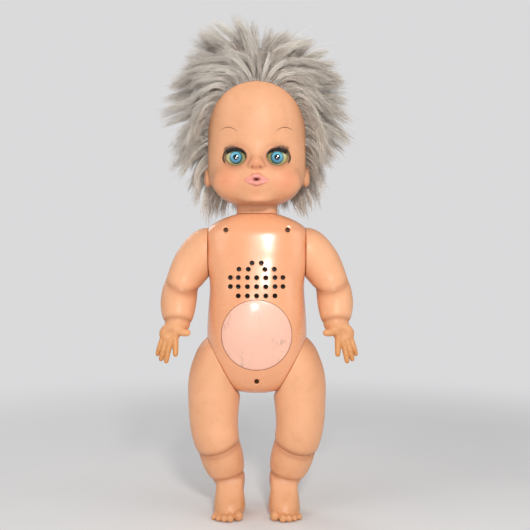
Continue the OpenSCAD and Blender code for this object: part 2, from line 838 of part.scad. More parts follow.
module eye_place(left) {
    mirror([left ? 0 : 1, 0, 0]) translate([eye_x, eye_y, eye_z]) children();
}

module eye_cup(left) {
    color([0.88, 0.85, 0.78]) stand() eye_place(left)
        difference() {
            intersection() {
                difference() {
                    rotate([0, 0, 90]) sphere(r = cup_out_r);
                    rotate([0, 0, 90]) sphere(r = cup_in_r);
                }
                translate([-20, -7, -20]) cube([40, 10.5, 40]);
            }
            translate([-20, 0, 0]) rotate([0, 90, 0]) cylinder(r = eye_pin_r + running_fit, h = 40);
        }
}

module eyeball(left) {
    color([0.78, 0.76, 0.5]) stand() eye_place(left) {
        difference() {
            union() {
                sphere(r = eyeball_r);
                translate([-13.25, 0, 0]) rotate([0, 90, 0]) cylinder(r = eye_pin_r, h = 26.5);
            }
            rotate([90, 0, 0]) translate([0, 0, 7.6]) cylinder(r = iris_r + 0.05, h = 10);
        }
    }
}

module iris(left) {
    color([0.25, 0.55, 0.72]) stand() eye_place(left)
        intersection() {
            sphere(r = eyeball_r);
            rotate([90, 0, 0]) translate([0, 0, 7.7]) cylinder(r = iris_r, h = 10);
        }
}

// Thin cap over the top and back of the ball, open for the pins and the weight arm
module eyelid(left) {
    color([0.8, 0.55, 0.42]) stand() eye_place(left)
        difference() {
            intersection() {
                difference() {
                    sphere(r = lid_r);
                    sphere(r = eyeball_r + 0.05);
                }
                rotate([-lid_edge, 0, 0]) translate([-20, -20, 0]) cube([40, 40, 20]);
            }
            rotate([-weight_dip, 0, 0]) translate([-20, 4, -20]) cube([40, 20, 40]);
            translate([-20, 0, 0]) rotate([0, 90, 0]) cylinder(r = eye_pin_r + 1, h = 40);
        }
}

module lashes(left) {
    color([0.06, 0.05, 0.05]) stand() eye_place(left)
        rotate([-lash_lift, 0, 0])
            intersection() {
                difference() {
                    sphere(r = lash_r);
                    sphere(r = lid_r + 0.05);
                }
                translate([-lash_half_w, -20, -0.3]) cube([2 * lash_half_w, 20, 0.6]);
            }
}

module eye_weight(left) {
    color([0.45, 0.45, 0.47]) stand() eye_place(left)
        rotate([-weight_dip, 0, 0]) {
            translate([0, eyeball_r + 0.1, 0]) rotate([-90, 0, 0]) cylinder(r = 1.2, h = weight_reach - eyeball_r);
            translate([-3.6, weight_reach - 3.4, -3.2]) cube([7.2, 6.4, 6.4]);
        }
}

module eye_cup_left() { eye_cup(true); }
module eye_cup_right() { eye_cup(false); }
module eyeball_left() { eyeball(true); }
module eyeball_right() { eyeball(false); }
module iris_left() { iris(true); }
module iris_right() { iris(false); }
module eyelid_left() { eyelid(true); }
module eyelid_right() { eyelid(false); }
module lashes_left() { lashes(true); }
module lashes_right() { lashes(false); }
module eye_weight_left() { eye_weight(true); }
module eye_weight_right() { eye_weight(false); }

// ---- Arms ----

module finger(f) {
    path = smooth([f[0], f[1], f[2]], 2);
    tip = f[2] + unit(f[2] - f[1]) * f[3] * 0.7;
    r = f[3];
    skin(tube_rings(concat(path, [tip]), [r, r, r, r * 0.96, r * 0.9, r * 0.5], finger_sides));
}

module arm_shape() {
    hollow = concat(
        thinner(slice(arm_rows, arm_hollow_from, len(arm_rows) - 3), vinyl_wall),
        [arm_hollow_end]);
    difference() {
        union() {
            one_mesh()
                difference() {
                    union() {
                        skin(rings(arm_rows, 1, arm_sides, 2));
                        for (f = fingers)
                            finger(f);
                    }
                    skin(rings(hollow, 1, 16, 2));
                    shoulder_frame() vent();
                }
            shoulder_frame() {
                translate([0, 0, -landing_wall - gap]) cylinder(r = shoulder_groove_r, h = landing_wall + 2);
                translate([0, 0, -landing_wall - gap - flange_thick]) cylinder(r = shoulder_flange_r, h = flange_thick);
            }
        }
        shoulder_frame() translate([0, 0, -12]) cylinder(r = collar_bore_r, h = 18);
    }
}

// Rough way out of a hollow, inside the finished bore
module vent() {
    translate([0, 0, -1]) cylinder(r = collar_bore_r - 0.5, h = 10);
}

// Frame of the left shoulder: origin on the landing, +Z out along the shoulder axis
module shoulder_frame() {
    translate([shoulder_x, 0, shoulder_z]) rotate([0, 90, 0]) children();
}

module arm_left() {
    color([0.88, 0.61, 0.44]) stand() arm_shape();
}

module arm_right() {
    color([0.88, 0.61, 0.44]) stand() right_side() arm_shape();
}

// ---- Legs ----

module toe(t) {
    tip = t[2] + t[1];
    r = t[1];
    path = [[t[0], toe_root_y + 6, r + 0.6], [t[0], toe_root_y, r + 0.3], [t[0], (toe_root_y + tip) / 2, r + 0.3],
        [t[0], tip, r + 0.3], [t[0], tip - r * 0.7, r * 0.95 + 0.3]];
    skin(tube_rings(path, [r * 0.9, r, r, r * 0.95, r * 0.55], finger_sides));
}

module leg_shape() {
    hollow = concat(
        thinner(slice(leg_rows, leg_hollow_from, len(leg_rows) - 2), vinyl_wall),
        [leg_hollow_end]);
    difference() {
        union() {
            one_mesh()
                difference() {
                    union() {
                        skin(rings(leg_rows, 1, leg_sides, 2));
                        skin(rings(upright(foot_rows, foot_x, foot_y), 1, leg_sides, 2.3));
                        for (t = toes)
                            toe(t);
                    }
                    skin(rings(hollow, 1, 16, 2));
                    hip_frame() vent();
                }
            hip_frame() {
                translate([0, 0, -hip_wall - gap]) cylinder(r = hip_groove_r, h = hip_wall + 2);
                translate([0, 0, -hip_wall - gap - flange_thick]) cylinder(r = hip_flange_r, h = flange_thick);
            }
        }
        hip_frame() translate([0, 0, -12]) cylinder(r = collar_bore_r, h = 18);
    }
}

module leg_left() {
    color([0.88, 0.61, 0.44]) stand() leg_shape();
}

module leg_right() {
    color([0.88, 0.61, 0.44]) stand() right_side() leg_shape();
}

torso_front();
torso_back();
body_screws();
speaker_basket();
speaker_magnet();
speaker_coil();
speaker_cone();
speaker_dust_cap();
speaker_clamp();
speaker_screws();
button_guide();
guide_screws();
button_spring();
circuit_board();
board_parts();
key_switch();
board_screws();
battery_box();
battery_cells();
contact_springs();
contact_plates();
box_screws();
power_switch();
speaker_wires();
battery_wires();
switch_wires();
tummy_button();
stem_clip();
switch_knob();
battery_door();
door_screw();
head_shell();
hair();
eye_cup_left();
eye_cup_right();
eyeball_left();
iris_left();
eyelid_left();
lashes_left();
eye_weight_left();
eyeball_right();
iris_right();
eyelid_right();
lashes_right();
eye_weight_right();
arm_left();
arm_right();
leg_left();
leg_right();
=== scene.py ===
"""Looks of the interactive baby doll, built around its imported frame.

Shapes are worked out in millimetres about the doll's body axis (x to its left, y back, z up) and
turned into the frame's metres when they become objects.
"""

import json
import math

import bmesh
import bpy
import numpy as np
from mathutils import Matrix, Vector


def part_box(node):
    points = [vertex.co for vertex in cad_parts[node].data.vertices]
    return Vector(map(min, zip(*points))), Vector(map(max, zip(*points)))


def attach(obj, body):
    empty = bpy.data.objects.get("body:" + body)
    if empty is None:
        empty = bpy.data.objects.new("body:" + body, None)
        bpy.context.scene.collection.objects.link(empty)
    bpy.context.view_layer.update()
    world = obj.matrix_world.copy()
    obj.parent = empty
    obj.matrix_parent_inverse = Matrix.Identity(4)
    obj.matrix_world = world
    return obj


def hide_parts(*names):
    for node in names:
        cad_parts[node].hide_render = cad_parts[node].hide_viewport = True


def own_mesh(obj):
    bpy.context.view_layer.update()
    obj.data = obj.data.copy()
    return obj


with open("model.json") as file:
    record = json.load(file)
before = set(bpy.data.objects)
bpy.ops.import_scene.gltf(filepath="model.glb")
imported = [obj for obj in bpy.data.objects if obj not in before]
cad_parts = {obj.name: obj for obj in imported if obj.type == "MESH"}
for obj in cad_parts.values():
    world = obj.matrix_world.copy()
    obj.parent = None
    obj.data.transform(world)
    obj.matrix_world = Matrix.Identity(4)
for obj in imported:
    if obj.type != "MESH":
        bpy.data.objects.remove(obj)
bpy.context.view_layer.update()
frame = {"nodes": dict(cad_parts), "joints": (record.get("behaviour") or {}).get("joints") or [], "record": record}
JOINTS = {joint["name"]: joint for joint in frame["joints"]}

MM = 0.001
AXIS_Y = JOINTS["head_turn"]["pos_m"][1] / MM
EYE_X, EYE_Y, EYE_Z = (v / MM for v in JOINTS["eye_left_roll"]["pos_m"])
EYE_Y -= AXIS_Y
SHOULDER_X, _, SHOULDER_Z = (v / MM for v in JOINTS["shoulder_left"]["pos_m"])
HIP_X, _, HIP_Z = (v / MM for v in JOINTS["hip_left"]["pos_m"])
HIP_SLOPE = math.radians(28)
HIP_OUT = np.array([math.cos(HIP_SLOPE), 0, -math.sin(HIP_SLOPE)])
GAP = 0.3  # clearance between a limb and the torso


# ---- Curves and distances ----


def smooth_rows(rows, steps):
    """Every row of a table, with smooth rows put in between."""
    rows = np.asarray(rows, float)
    last = len(rows) - 1
    out = []
    for i in range(last):
        a, b, c, d = rows[max(i - 1, 0)], rows[i], rows[i + 1], rows[min(i + 2, last)]
        for k in range(steps):
            t = k / steps
            start = 2 * b + (c - a) * t
            out.append(0.5 * (start + (2 * a - 5 * b + 4 * c - d) * t**2 + (3 * b - 3 * c + d - a) * t**3))
    out.append(rows[-1])
    return np.array(out)


def blend_min(a, b, k):
    """The smaller of two distances, with a fillet about k wide where they meet."""
    if k <= 0:
        return np.minimum(a, b)
    h = np.maximum(k - np.abs(a - b), 0) / k
    return np.minimum(a, b) - h * h * k * 0.25


def bump(value, width):
    """A bell curve: one where the value is nought, fading over the width."""
    return np.exp(-((value / width) ** 2))


def ring_faces(rings, sides, first=0, closed=False):
    """Quads that join each ring of points to the next, and the last to the first when closed."""
    found = []
    for i in range(rings if closed else rings - 1):
        a, b = first + i * sides, first + (i + 1) % rings * sides
        found += [(a + k, a + (k + 1) % sides, b + (k + 1) % sides, b + k) for k in range(sides)]
    return found


def end_faces(rings, sides, first=0):
    """The faces that close the first and the last ring."""
    last = first + (rings - 1) * sides
    return [tuple(range(first, first + sides))[::-1], tuple(range(last, last + sides))]


def circle(x, y, z, radius, sides):
    """Points round an axis that runs from front to back."""
    turns = np.linspace(0, 2 * math.pi, sides, endpoint=False)
    return [(x + radius * math.cos(t), y, z + radius * math.sin(t)) for t in turns]


class Clay:
    """Signed distances on a grid: negative is inside. Adding and cutting shapes changes them."""

    def __init__(self, low, high, step):
        self.low = np.array(low, float)
        self.step = step
        self.spans = [np.arange(a, b, step, dtype=np.float32) for a, b in zip(low, high)]
        self.x, self.y, self.z = np.meshgrid(*self.spans, indexing="ij", sparse=True)
        self.d = np.full([len(s) for s in self.spans], 1e3, np.float32)

    def part(self, low, high):
        """The same clay seen through a smaller window."""
        cuts = []
        for span, a, b in zip(self.spans, low, high):
            first = int(np.searchsorted(span, a))
            last = int(np.searchsorted(span, b))
            cuts.append(slice(max(first - 1, 0), max(last + 1, first + 2)))
        seen = object.__new__(Clay)
        seen.step = self.step
        seen.spans = [s[c] for s, c in zip(self.spans, cuts)]
        seen.x, seen.y, seen.z = np.meshgrid(*seen.spans, indexing="ij", sparse=True)
        seen.d = self.d[tuple(cuts)]
        return seen

    def add(self, d, k=0.0):
        self.d[...] = blend_min(self.d, d, k)

    def cut(self, d, k=0.0):
        self.d[...] = -blend_min(-self.d, d, k)

    def loft(self, rows, power, cx=0.0, cy=0.0):
        """Distance to a body whose rows are height, half width, front depth and back depth."""
        rows = smooth_rows(rows, 6)
        w, f, b = (np.interp(self.z, rows[:, 0], rows[:, i]).astype(np.float32) for i in (1, 2, 3))
        y = self.y - cy
        depth = np.where(y < 0, f, b)
        m = (np.abs((self.x - cx) / w) ** power + np.abs(y / depth) ** power) ** (1 / power) - 1
        slopes = np.gradient(m, self.step)
        size = np.sqrt(sum(s * s for s in slopes) + 1e-8)
        return np.maximum(m / size, np.maximum(self.z - rows[-1, 0], rows[0, 0] - self.z))

    def cone(self, a, b, ra, rb):
        """Distance to a rounded cone between two balls."""
        a = np.asarray(a, float)
        ab = np.asarray(b, float) - a
        x, y, z = self.x - a[0], self.y - a[1], self.z - a[2]
        t = np.clip((x * ab[0] + y * ab[1] + z * ab[2]) / max(ab @ ab, 1e-9), 0, 1)
        away = np.sqrt((x - t * ab[0]) ** 2 + (y - t * ab[1]) ** 2 + (z - t * ab[2]) ** 2)
        return away - (ra + t * (rb - ra))

    def blob(self, centre, radii, turn_y=0.0):
        """Distance to an ellipsoid, turned about Y in degrees."""
        x, y, z = self.x - centre[0], self.y - centre[1], self.z - centre[2]
        if turn_y:
            c, s = math.cos(math.radians(turn_y)), math.sin(math.radians(turn_y))
            x, z = c * x - s * z, s * x + c * z
        scaled = np.sqrt((x / radii[0]) ** 2 + (y / radii[1]) ** 2 + (z / radii[2]) ** 2)
        slope = np.sqrt((x / radii[0] ** 2) ** 2 + (y / radii[1] ** 2) ** 2 + (z / radii[2] ** 2) ** 2)
        return scaled * (scaled - 1) / np.maximum(slope, 1e-4)

    def add_cone(self, a, b, ra, rb, k=0.0):
        reach = max(ra, rb) + k + 2
        seen = self.part(np.minimum(a, b) - reach, np.maximum(a, b) + reach)
        seen.add(seen.cone(a, b, ra, rb), k)

    def add_chain(self, points, k=0.0, steps=4):
        """A smooth limb through rows of x, y, z and radius."""
        rows = smooth_rows(points, steps)
        for a, b in zip(rows[:-1], rows[1:]):
            self.add_cone(a[:3], b[:3], a[3], b[3], k)

    def around(self, centre, radii, k):
        """The window that holds an ellipsoid and its fillet."""
        centre = np.array(centre)
        return self.part(centre - max(radii) - k - 2, centre + max(radii) + k + 2)

    def add_blob(self, centre, radii, k=0.0, turn_y=0.0):
        seen = self.around(centre, radii, k)
        seen.add(seen.blob(centre, radii, turn_y), k)

    def cut_blob(self, centre, radii, k=0.0):
        seen = self.around(centre, radii, k)
        seen.cut(seen.blob(centre, radii), k)

    def mesh(self):
        """Points in millimetres and quads of the surface where the distance is nought."""
        d = self.d
        inside = d < 0
        corners = [(i, j, k) for i in (0, 1) for j in (0, 1) for k in (0, 1)]
        nx, ny, nz = d.shape
        count = np.zeros((nx - 1, ny - 1, nz - 1), np.int8)
        for i, j, k in corners:
            count += inside[i : nx - 1 + i, j : ny - 1 + j, k : nz - 1 + k]
        cells = np.argwhere((count > 0) & (count < 8))
        index = np.full(count.shape, -1, np.int64)
        index[tuple(cells.T)] = np.arange(len(cells))
        values = {c: d[cells[:, 0] + c[0], cells[:, 1] + c[1], cells[:, 2] + c[2]] for c in corners}
        total = np.zeros((len(cells), 3))
        hits = np.zeros(len(cells))
        for a in corners:
            for axis in range(3):
                if a[axis]:
                    continue
                b = tuple(1 if n == axis else v for n, v in enumerate(a))
                crossing = (values[a] < 0) != (values[b] < 0)
                va, vb = values[a][crossing], values[b][crossing]
                at = np.tile(np.array(a, float), (len(va), 1))
                at[:, axis] += va / (va - vb)
                total[crossing] += at
                hits[crossing] += 1
        points = self.low + self.step * (cells + total / hits[:, None])
        quads = []
        for axis in range(3):
            u, v = (axis + 1) % 3, (axis + 2) % 3
            here = [slice(1, -1)] * 3
            there = [slice(1, -1)] * 3
            here[axis], there[axis] = slice(0, -1), slice(1, None)
            s0, s1 = inside[tuple(here)], inside[tuple(there)]
            edges = np.argwhere(s0 != s1)
            solid_first = s0[tuple(edges.T)]
            edges[:, u] += 1
            edges[:, v] += 1
            ring = []
            for du, dv in ((-1, -1), (0, -1), (0, 0), (-1, 0)):
                c = edges.copy()
                c[:, u] += du
                c[:, v] += dv
                ring.append(index[tuple(c.T)])
            quad = np.stack(ring, 1)
            quad[~solid_first] = quad[~solid_first][:, ::-1]
            quads.append(quad)
        quads = np.concatenate(quads)
        return relax(points, quads), quads


def relax(points, quads):
    """Evens out a surface: each point moves half of the way to the middle of its neighbours."""
    a = quads.ravel()
    b = np.roll(quads, -1, axis=1).ravel()
    ends = np.concatenate([a, b])
    others = np.concatenate([b, a])
    weight = np.bincount(ends, minlength=len(points))[:, None]
    middle = np.stack([np.bincount(ends, points[others, n], len(points)) for n in range(3)], 1) / weight
    return points * 0.5 + middle * 0.5


# ---- Objects ----


def to_frame(points):
    """Metres in the frame, from millimetres about the body axis."""
    return (np.asarray(points, float) + (0, AXIS_Y, 0)) * MM


def build(name, points, faces):
    """A mesh object from points in millimetres and an array of equal-sized faces, or a list of faces."""
    mesh = bpy.data.meshes.new(name)
    points = to_frame(points)
    if isinstance(faces, np.ndarray):
        count, sides = faces.shape
        mesh.vertices.add(len(points))
        mesh.vertices.foreach_set("co", points.ravel())
        mesh.loops.add(count * sides)
        mesh.loops.foreach_set("vertex_index", faces.ravel().astype(np.int32))
        mesh.polygons.add(count)
        mesh.polygons.foreach_set("loop_start", np.arange(0, count * sides, sides, dtype=np.int32))
        mesh.update(calc_edges=True)
    else:
        mesh.from_pydata(points.tolist(), [], faces)
    mesh.validate()
    mesh.polygons.foreach_set("use_smooth", [True] * len(mesh.polygons))
    piece = bpy.data.objects.new(name, mesh)
    bpy.context.collection.objects.link(piece)
    return piece


def settle(piece, body, material, nodes=()):
    """Gives a finished piece its material and body, and hides the CAD nodes that it stands for."""
    piece.data.materials.clear()
    piece.data.materials.append(material)
    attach(piece, body)
    if nodes:
        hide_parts(*nodes)
    return piece


def paint(piece, colours):
    """Stores a colour for each point, which the piece's material reads as tint."""
    layer = piece.data.attributes.new("tint", "FLOAT_COLOR", "POINT")
    rgba = np.ones((len(colours), 4), np.float32)
    rgba[:, :3] = colours
    layer.data.foreach_set("color", rgba.ravel())


def apply_modifiers(piece):
    """Turns the modifiers into plain geometry."""
    depsgraph = bpy.context.evaluated_depsgraph_get()
    mesh = bpy.data.meshes.new_from_object(piece.evaluated_get(depsgraph))
    piece.modifiers.clear()
    old = piece.data
    piece.data = mesh
    mesh.name = piece.name
    bpy.data.meshes.remove(old)


def mirrored(points, quads):
    """The same surface on the doll's other side."""
    return points * (-1, 1, 1), quads[:, ::-1]


# ---- Materials ----


def srgb(r, g, b):
    """Linear colour from the 0 to 255 values that a screen shows."""
    return tuple(((v / 255 + 0.055) / 1.055) ** 2.4 if v > 10 else v / 255 / 12.92 for v in (r, g, b))


class Material:
    """A node material with short calls for what the doll's surfaces need."""

    def __init__(self, name, **values):
        self.material = bpy.data.materials.new(name)
        self.material.use_nodes = True
        self.tree = self.material.node_tree
        self.shader = self.tree.nodes["Principled BSDF"]
        for key, value in values.items():
            self.shader.inputs[key.replace("_", " ")].default_value = value
        self.place = self.node("ShaderNodeTexCoord").outputs["Object"]

    def node(self, kind, **settings):
        made = self.tree.nodes.new(kind)
        for key, value in settings.items():
            setattr(made, key, value)
        return made

    def link(self, source, target):
        self.tree.links.new(source, target)

    def stretched(self, scale):
        mapping = self.node("ShaderNodeMapping")
        mapping.inputs["Scale"].default_value = scale
        self.link(self.place, mapping.inputs["Vector"])
        return mapping.outputs["Vector"]

    def noise(self, scale, detail=4.0, roughness=0.55, stretch=None):
        made = self.node("ShaderNodeTexNoise")
        made.inputs["Scale"].default_value = scale
        made.inputs["Detail"].default_value = detail
        made.inputs["Roughness"].default_value = roughness
        self.link(self.stretched(stretch) if stretch else self.place, made.inputs["Vector"])
        return made.outputs["Fac"]

    def ramp(self, source, *stops):
        """A value mapped through (position, value or colour) stops."""
        made = self.node("ShaderNodeValToRGB")
        ramp = made.color_ramp
        while len(ramp.elements) < len(stops):
            ramp.elements.new(0.5)
        for element, (position, value) in zip(ramp.elements, stops):
            element.position = position
            colour = (value,) * 3 if isinstance(value, (int, float)) else value
            element.color = (*colour, 1)
        self.link(source, made.inputs["Fac"])
        return made.outputs["Color"]

    def mix(self, factor, a, b, blend="MIX"):
        made = self.node("ShaderNodeMix", data_type="RGBA", blend_type=blend)
        for socket, value in ((made.inputs[0], factor), (made.inputs[6], a), (made.inputs[7], b)):
            if isinstance(value, bpy.types.NodeSocket):
                self.link(value, socket)
            elif isinstance(value, tuple):
                socket.default_value = (*value, 1)
            else:
                socket.default_value = value
        return made.outputs[2]

    def tint(self):
        return self.node("ShaderNodeAttribute", attribute_name="tint").outputs["Color"]

    def colour(self, source):
        self.link(source, self.shader.inputs["Base Color"])

    def rough(self, source, low, high):
        made = self.node("ShaderNodeMapRange")
        made.inputs["To Min"].default_value = low
        made.inputs["To Max"].default_value = high
        self.link(source, made.inputs["Value"])
        self.link(made.outputs["Result"], self.shader.inputs["Roughness"])

    def bumps(self, *layers):
        """Each layer is a height source, its strength and its depth in millimetres."""
        normal = None
        for source, strength, depth in layers:
            made = self.node("ShaderNodeBump")
            made.inputs["Strength"].default_value = strength
            made.inputs["Distance"].default_value = depth * MM
            self.link(source, made.inputs["Height"])
            if normal:
                self.link(normal, made.inputs["Normal"])
            normal = made.outputs["Normal"]
        self.link(normal, self.shader.inputs["Normal"])


def vinyl(name, gloss):
    """Soft vinyl: painted tints, which carry painted shade too, blotchy ageing, fine grain and a faint waxy depth.
    """
    m = Material(name, Subsurface_Weight=0.12, Subsurface_Scale=0.004, Specular_IOR_Level=0.4)
    m.shader.inputs["Subsurface Radius"].default_value = (1.0, 0.4, 0.2)
    blotch = m.ramp(m.noise(22, 3), (0.3, (0.93, 0.9, 0.87)), (0.7, (1.03, 1.03, 1.03)))
    grime = m.ramp(m.noise(90, 5, 0.7), (0.32, (0.9, 0.84, 0.76)), (0.48, (1, 1, 1)))
    m.colour(m.mix(0.5, m.mix(1.0, m.tint(), blotch, "MULTIPLY"), grime, "MULTIPLY"))
    m.rough(m.noise(60, 4), gloss - 0.07, gloss + 0.09)
    m.bumps((m.noise(1400, 2), 0.16, 0.12), (m.noise(60, 3), 0.12, 0.5))
    return m.material


def hard_plastic(name, base, deep, gloss, scuffs=None):
    """Glossy moulded plastic with slow colour drift, fine scratches and optional grey scuffs."""
    m = Material(name, Coat_Weight=0.35, Coat_Roughness=0.12, Subsurface_Weight=0.06, Subsurface_Scale=0.003)
    m.shader.inputs["Subsurface Radius"].default_value = (1.0, 0.45, 0.25)
    body = m.ramp(m.noise(16, 3), (0.3, deep), (0.72, base))
    specks = m.ramp(m.noise(420, 3, 0.8), (0.24, (0.72, 0.66, 0.6)), (0.31, (1, 1, 1)))
    colour = m.mix(0.5, body, specks, "MULTIPLY")
    if scuffs:
        wide = m.ramp(m.noise(38, 2), (0.52, 0.0), (0.64, 1.0))
        fine = m.ramp(m.noise(260, 4, 0.75, stretch=(1.0, 1.0, 0.35)), (0.5, 0.0), (0.62, 0.75))
        colour = m.mix(m.mix(1.0, wide, fine, "MULTIPLY"), colour, scuffs)
    m.colour(colour)
    m.rough(m.noise(70, 5, 0.7), gloss - 0.05, gloss + 0.1)
    scratch = m.ramp(m.noise(300, 3, 0.6, stretch=(1.0, 1.0, 0.05)), (0.62, 0.0), (0.7, 1.0))
    m.bumps((scratch, 0.05, 0.05), (m.noise(30, 2), 0.08, 0.6))
    return m.material


def plain(name, base, rough, metal=0.0, grain=250.0, stretch=None, depth=0.05):
    """An inner part's finish: slight colour drift, uneven sheen and a fine grain."""
    m = Material(name, Metallic=metal)
    dark = tuple(v * 0.7 for v in base)
    m.colour(m.ramp(m.noise(grain, 4, stretch=stretch), (0.3, dark), (0.7, base)))
    m.rough(m.noise(grain * 0.5, 3, stretch=stretch), max(rough - 0.1, 0.05), rough + 0.12)
    m.bumps((m.noise(grain * 2, 3, stretch=stretch), 0.25, depth))
    return m.material


def fibre(name, gloss, sheen):
    """Hair or lash fibre: each strand brings its own colour."""
    m = Material(name, Specular_IOR_Level=0.55, Sheen_Weight=sheen, Sheen_Roughness=0.35)
    streak = m.ramp(m.noise(700, 3), (0.3, (0.82, 0.8, 0.78)), (0.7, (1.06, 1.06, 1.06)))
    m.colour(m.mix(1.0, m.tint(), streak, "MULTIPLY"))
    m.rough(m.noise(300, 2), gloss - 0.06, gloss + 0.1)
    m.bumps((m.noise(2500, 2), 0.2, 0.05))
    return m.material


SKIN = np.array(srgb(222, 164, 124))
LIMB = np.array(srgb(232, 172, 130))

# ---- Camera, lights and floor ----

VIEW_DISTANCE = 0.8
VIEW_HEIGHT = 0.246
VIEW_WIDTH = 0.53  # seen at the doll's own distance
VIEW_SIDE = 0.008
FLOOR_RADIUS = 9
MELT_START, MELT_END = 0.3, 1.0  # where the floor begins and ends to turn into sky
SKY = (0.70, 0.70, 0.71)


def make_camera():
    """A level camera in front of the doll, a little to its left."""
    data = bpy.data.cameras.new("camera")
    data.sensor_width = 36
    data.lens = data.sensor_width * VIEW_DISTANCE / VIEW_WIDTH
    camera = bpy.data.objects.new("camera", data)
    camera.location = (VIEW_SIDE, AXIS_Y * MM - VIEW_DISTANCE, VIEW_HEIGHT)
    camera.rotation_euler = (math.radians(90), 0, 0)
    bpy.context.collection.objects.link(camera)
    bpy.context.scene.camera = camera


def make_light(name, place, aim_z, size, power, colour=(1, 1, 1)):
    """A round soft light at a place in metres, turned towards a height on the doll's middle."""
    data = bpy.data.lights.new(name, "AREA")
    data.size = size
    data.shape = "DISK"
    data.energy = power
    data.color = colour
    light = bpy.data.objects.new(name, data)
    light.location = place
    light.rotation_euler = (Vector((0, 0, aim_z)) - Vector(place)).to_track_quat("-Z", "Y").to_euler()
    bpy.context.collection.objects.link(light)


def make_floor():
    """A wide pale floor that melts into the even pale sky all round."""
    turns = np.radians(np.arange(0, 360, 5))
    points = [(FLOOR_RADIUS * math.cos(a), FLOOR_RADIUS * math.sin(a), 0) for a in turns]
    mesh = bpy.data.meshes.new("floor")
    mesh.from_pydata(points, [], [tuple(range(len(turns)))])
    floor = bpy.data.objects.new("floor", mesh)
    bpy.context.collection.objects.link(floor)
    m = Material("floor_paper", Roughness=0.9)
    m.colour(m.ramp(m.noise(3, 2), (0.3, (0.74, 0.73, 0.72)), (0.7, (0.78, 0.77, 0.76))))
    m.bumps((m.noise(160, 3), 0.1, 0.3))
    away = m.node("ShaderNodeVectorMath", operation="LENGTH")
    m.link(m.place, away.inputs[0])
    melt = m.node("ShaderNodeMapRange", interpolation_type="SMOOTHSTEP")
    melt.inputs["From Min"].default_value = MELT_START
    melt.inputs["From Max"].default_value = MELT_END
    m.link(away.outputs["Value"], melt.inputs["Value"])
    glow = m.node("ShaderNodeEmission")
    glow.inputs["Color"].default_value = (*SKY, 1)
    both = m.node("ShaderNodeMixShader")
    m.link(melt.outputs["Result"], both.inputs[0])
    m.link(m.shader.outputs[0], both.inputs[1])
    m.link(glow.outputs[0], both.inputs[2])
    m.link(both.outputs[0], m.tree.nodes["Material Output"].inputs["Surface"])
    mesh.materials.append(m.material)


def make_sky():
    """A dim sky for light, which the camera sees as a brighter even grey."""
    world = bpy.data.worlds.new("sky")
    world.use_nodes = True
    tree = world.node_tree
    light = tree.nodes["Background"]
    light.inputs["Color"].default_value = (0.92, 0.95, 1.0, 1)
    light.inputs["Strength"].default_value = 0.32
    seen = tree.nodes.new("ShaderNodeBackground")
    seen.inputs["Color"].default_value = (*SKY, 1)
    path = tree.nodes.new("ShaderNodeLightPath")
    both = tree.nodes.new("ShaderNodeMixShader")
    tree.links.new(path.outputs["Is Camera Ray"], both.inputs[0])
    tree.links.new(light.outputs[0], both.inputs[1])
    tree.links.new(seen.outputs[0], both.inputs[2])
    tree.links.new(both.outputs[0], tree.nodes["World Output"].inputs["Surface"])
    bpy.context.scene.world = world
    bpy.context.scene.view_settings.view_transform = "Standard"


def make_lights():
    make_light("key", (0.14, -1.0, 0.62), 0.28, 0.15, 6.0, (1, 0.97, 0.94))
    make_light("fill_left", (-0.9, -0.7, 0.8), 0.25, 0.8, 2.6)
    make_light("fill_right", (1.0, -0.5, 0.7), 0.25, 0.8, 2.2)
    make_light("near", (-0.04, -1.05, 0.34), 0.3, 0.05, 1.3)
    make_light("behind", (-0.6, 0.75, 0.8), 0.3, 0.6, 2.2)
    make_light("top", (0, 0.1, 1.35), 0.3, 0.9, 3)


make_camera()
make_floor()
make_sky()
make_lights()

# ---- Head ----

# Each row is a height, the half width there, and the depth in front of and behind the middle.
HEAD_ROWS = (
    (296.4, 20.5, 20.5, 20.5), (304, 20.5, 20.5, 20.5), (306.6, 22.5, 31, 22),
    (309.5, 29.5, 41, 25), (315, 37.5, 45.6, 31),
    (325, 45, 48.5, 41), (335, 48, 49.5, 48), (345, 49, 49, 53), (360, 49, 49.5, 57), (375, 49, 51.5, 58.5),
    (390, 49, 52.5, 58), (405, 47.5, 50, 55), (418, 43.5, 44.5, 49), (430, 36.5, 35.5, 40),
    (440, 26, 24, 28),
    (446, 15, 13.5, 16), (449, 3, 3, 3),
)
HEAD_POWER = 2.25
EYE_HALF_W, EYE_HALF_H = 10.0, 8.1
LENS_R = (EYE_HALF_W**2 + EYE_HALF_H**2) / (2 * EYE_HALF_H)
POCKET_R = 13.7
LID_R = 12.15
# Each row is a place and a radius, from the corner of the mouth to its middle.
UPPER_LIP = (
    (10.8, -46.6, 325.9, 0.7), (6.0, -49.6, 327.6, 1.5), (2.2, -51.4, 329.8, 1.9), (0, -51.4, 329.2, 1.8),
)
LOWER_LIP = ((10.6, -46.6, 325.4, 0.7), (5.8, -49.6, 323.9, 1.8), (0, -51.2, 322.9, 2.5))
MOUTH = (0, -53, 326.1)


class Points(Clay):
    """The same distances, measured at loose points."""

    def __init__(self, points):
        self.x, self.y, self.z = np.asarray(points, float).T


def eye_edge(x, z):
    """Distance from the edge of the almond opening of the nearer eye: negative inside."""
    side, rise = np.abs(x) - EYE_X, z - EYE_Z
    lift = LENS_R - EYE_HALF_H
    return np.maximum(np.hypot(side, rise - lift), np.hypot(side, rise + lift)) - LENS_R


def lips(space):
    """Distance to the two lips."""
    found = None
    for rows in (UPPER_LIP, LOWER_LIP):
        for a, b in zip(rows[:-1], rows[1:]):
            for flip in ((1, 1, 1), (-1, 1, 1)):
                d = space.cone(np.multiply(a[:3], flip), np.multiply(b[:3], flip), a[3], b[3])
                found = d if found is None else blend_min(found, d, 0.8)
    return found


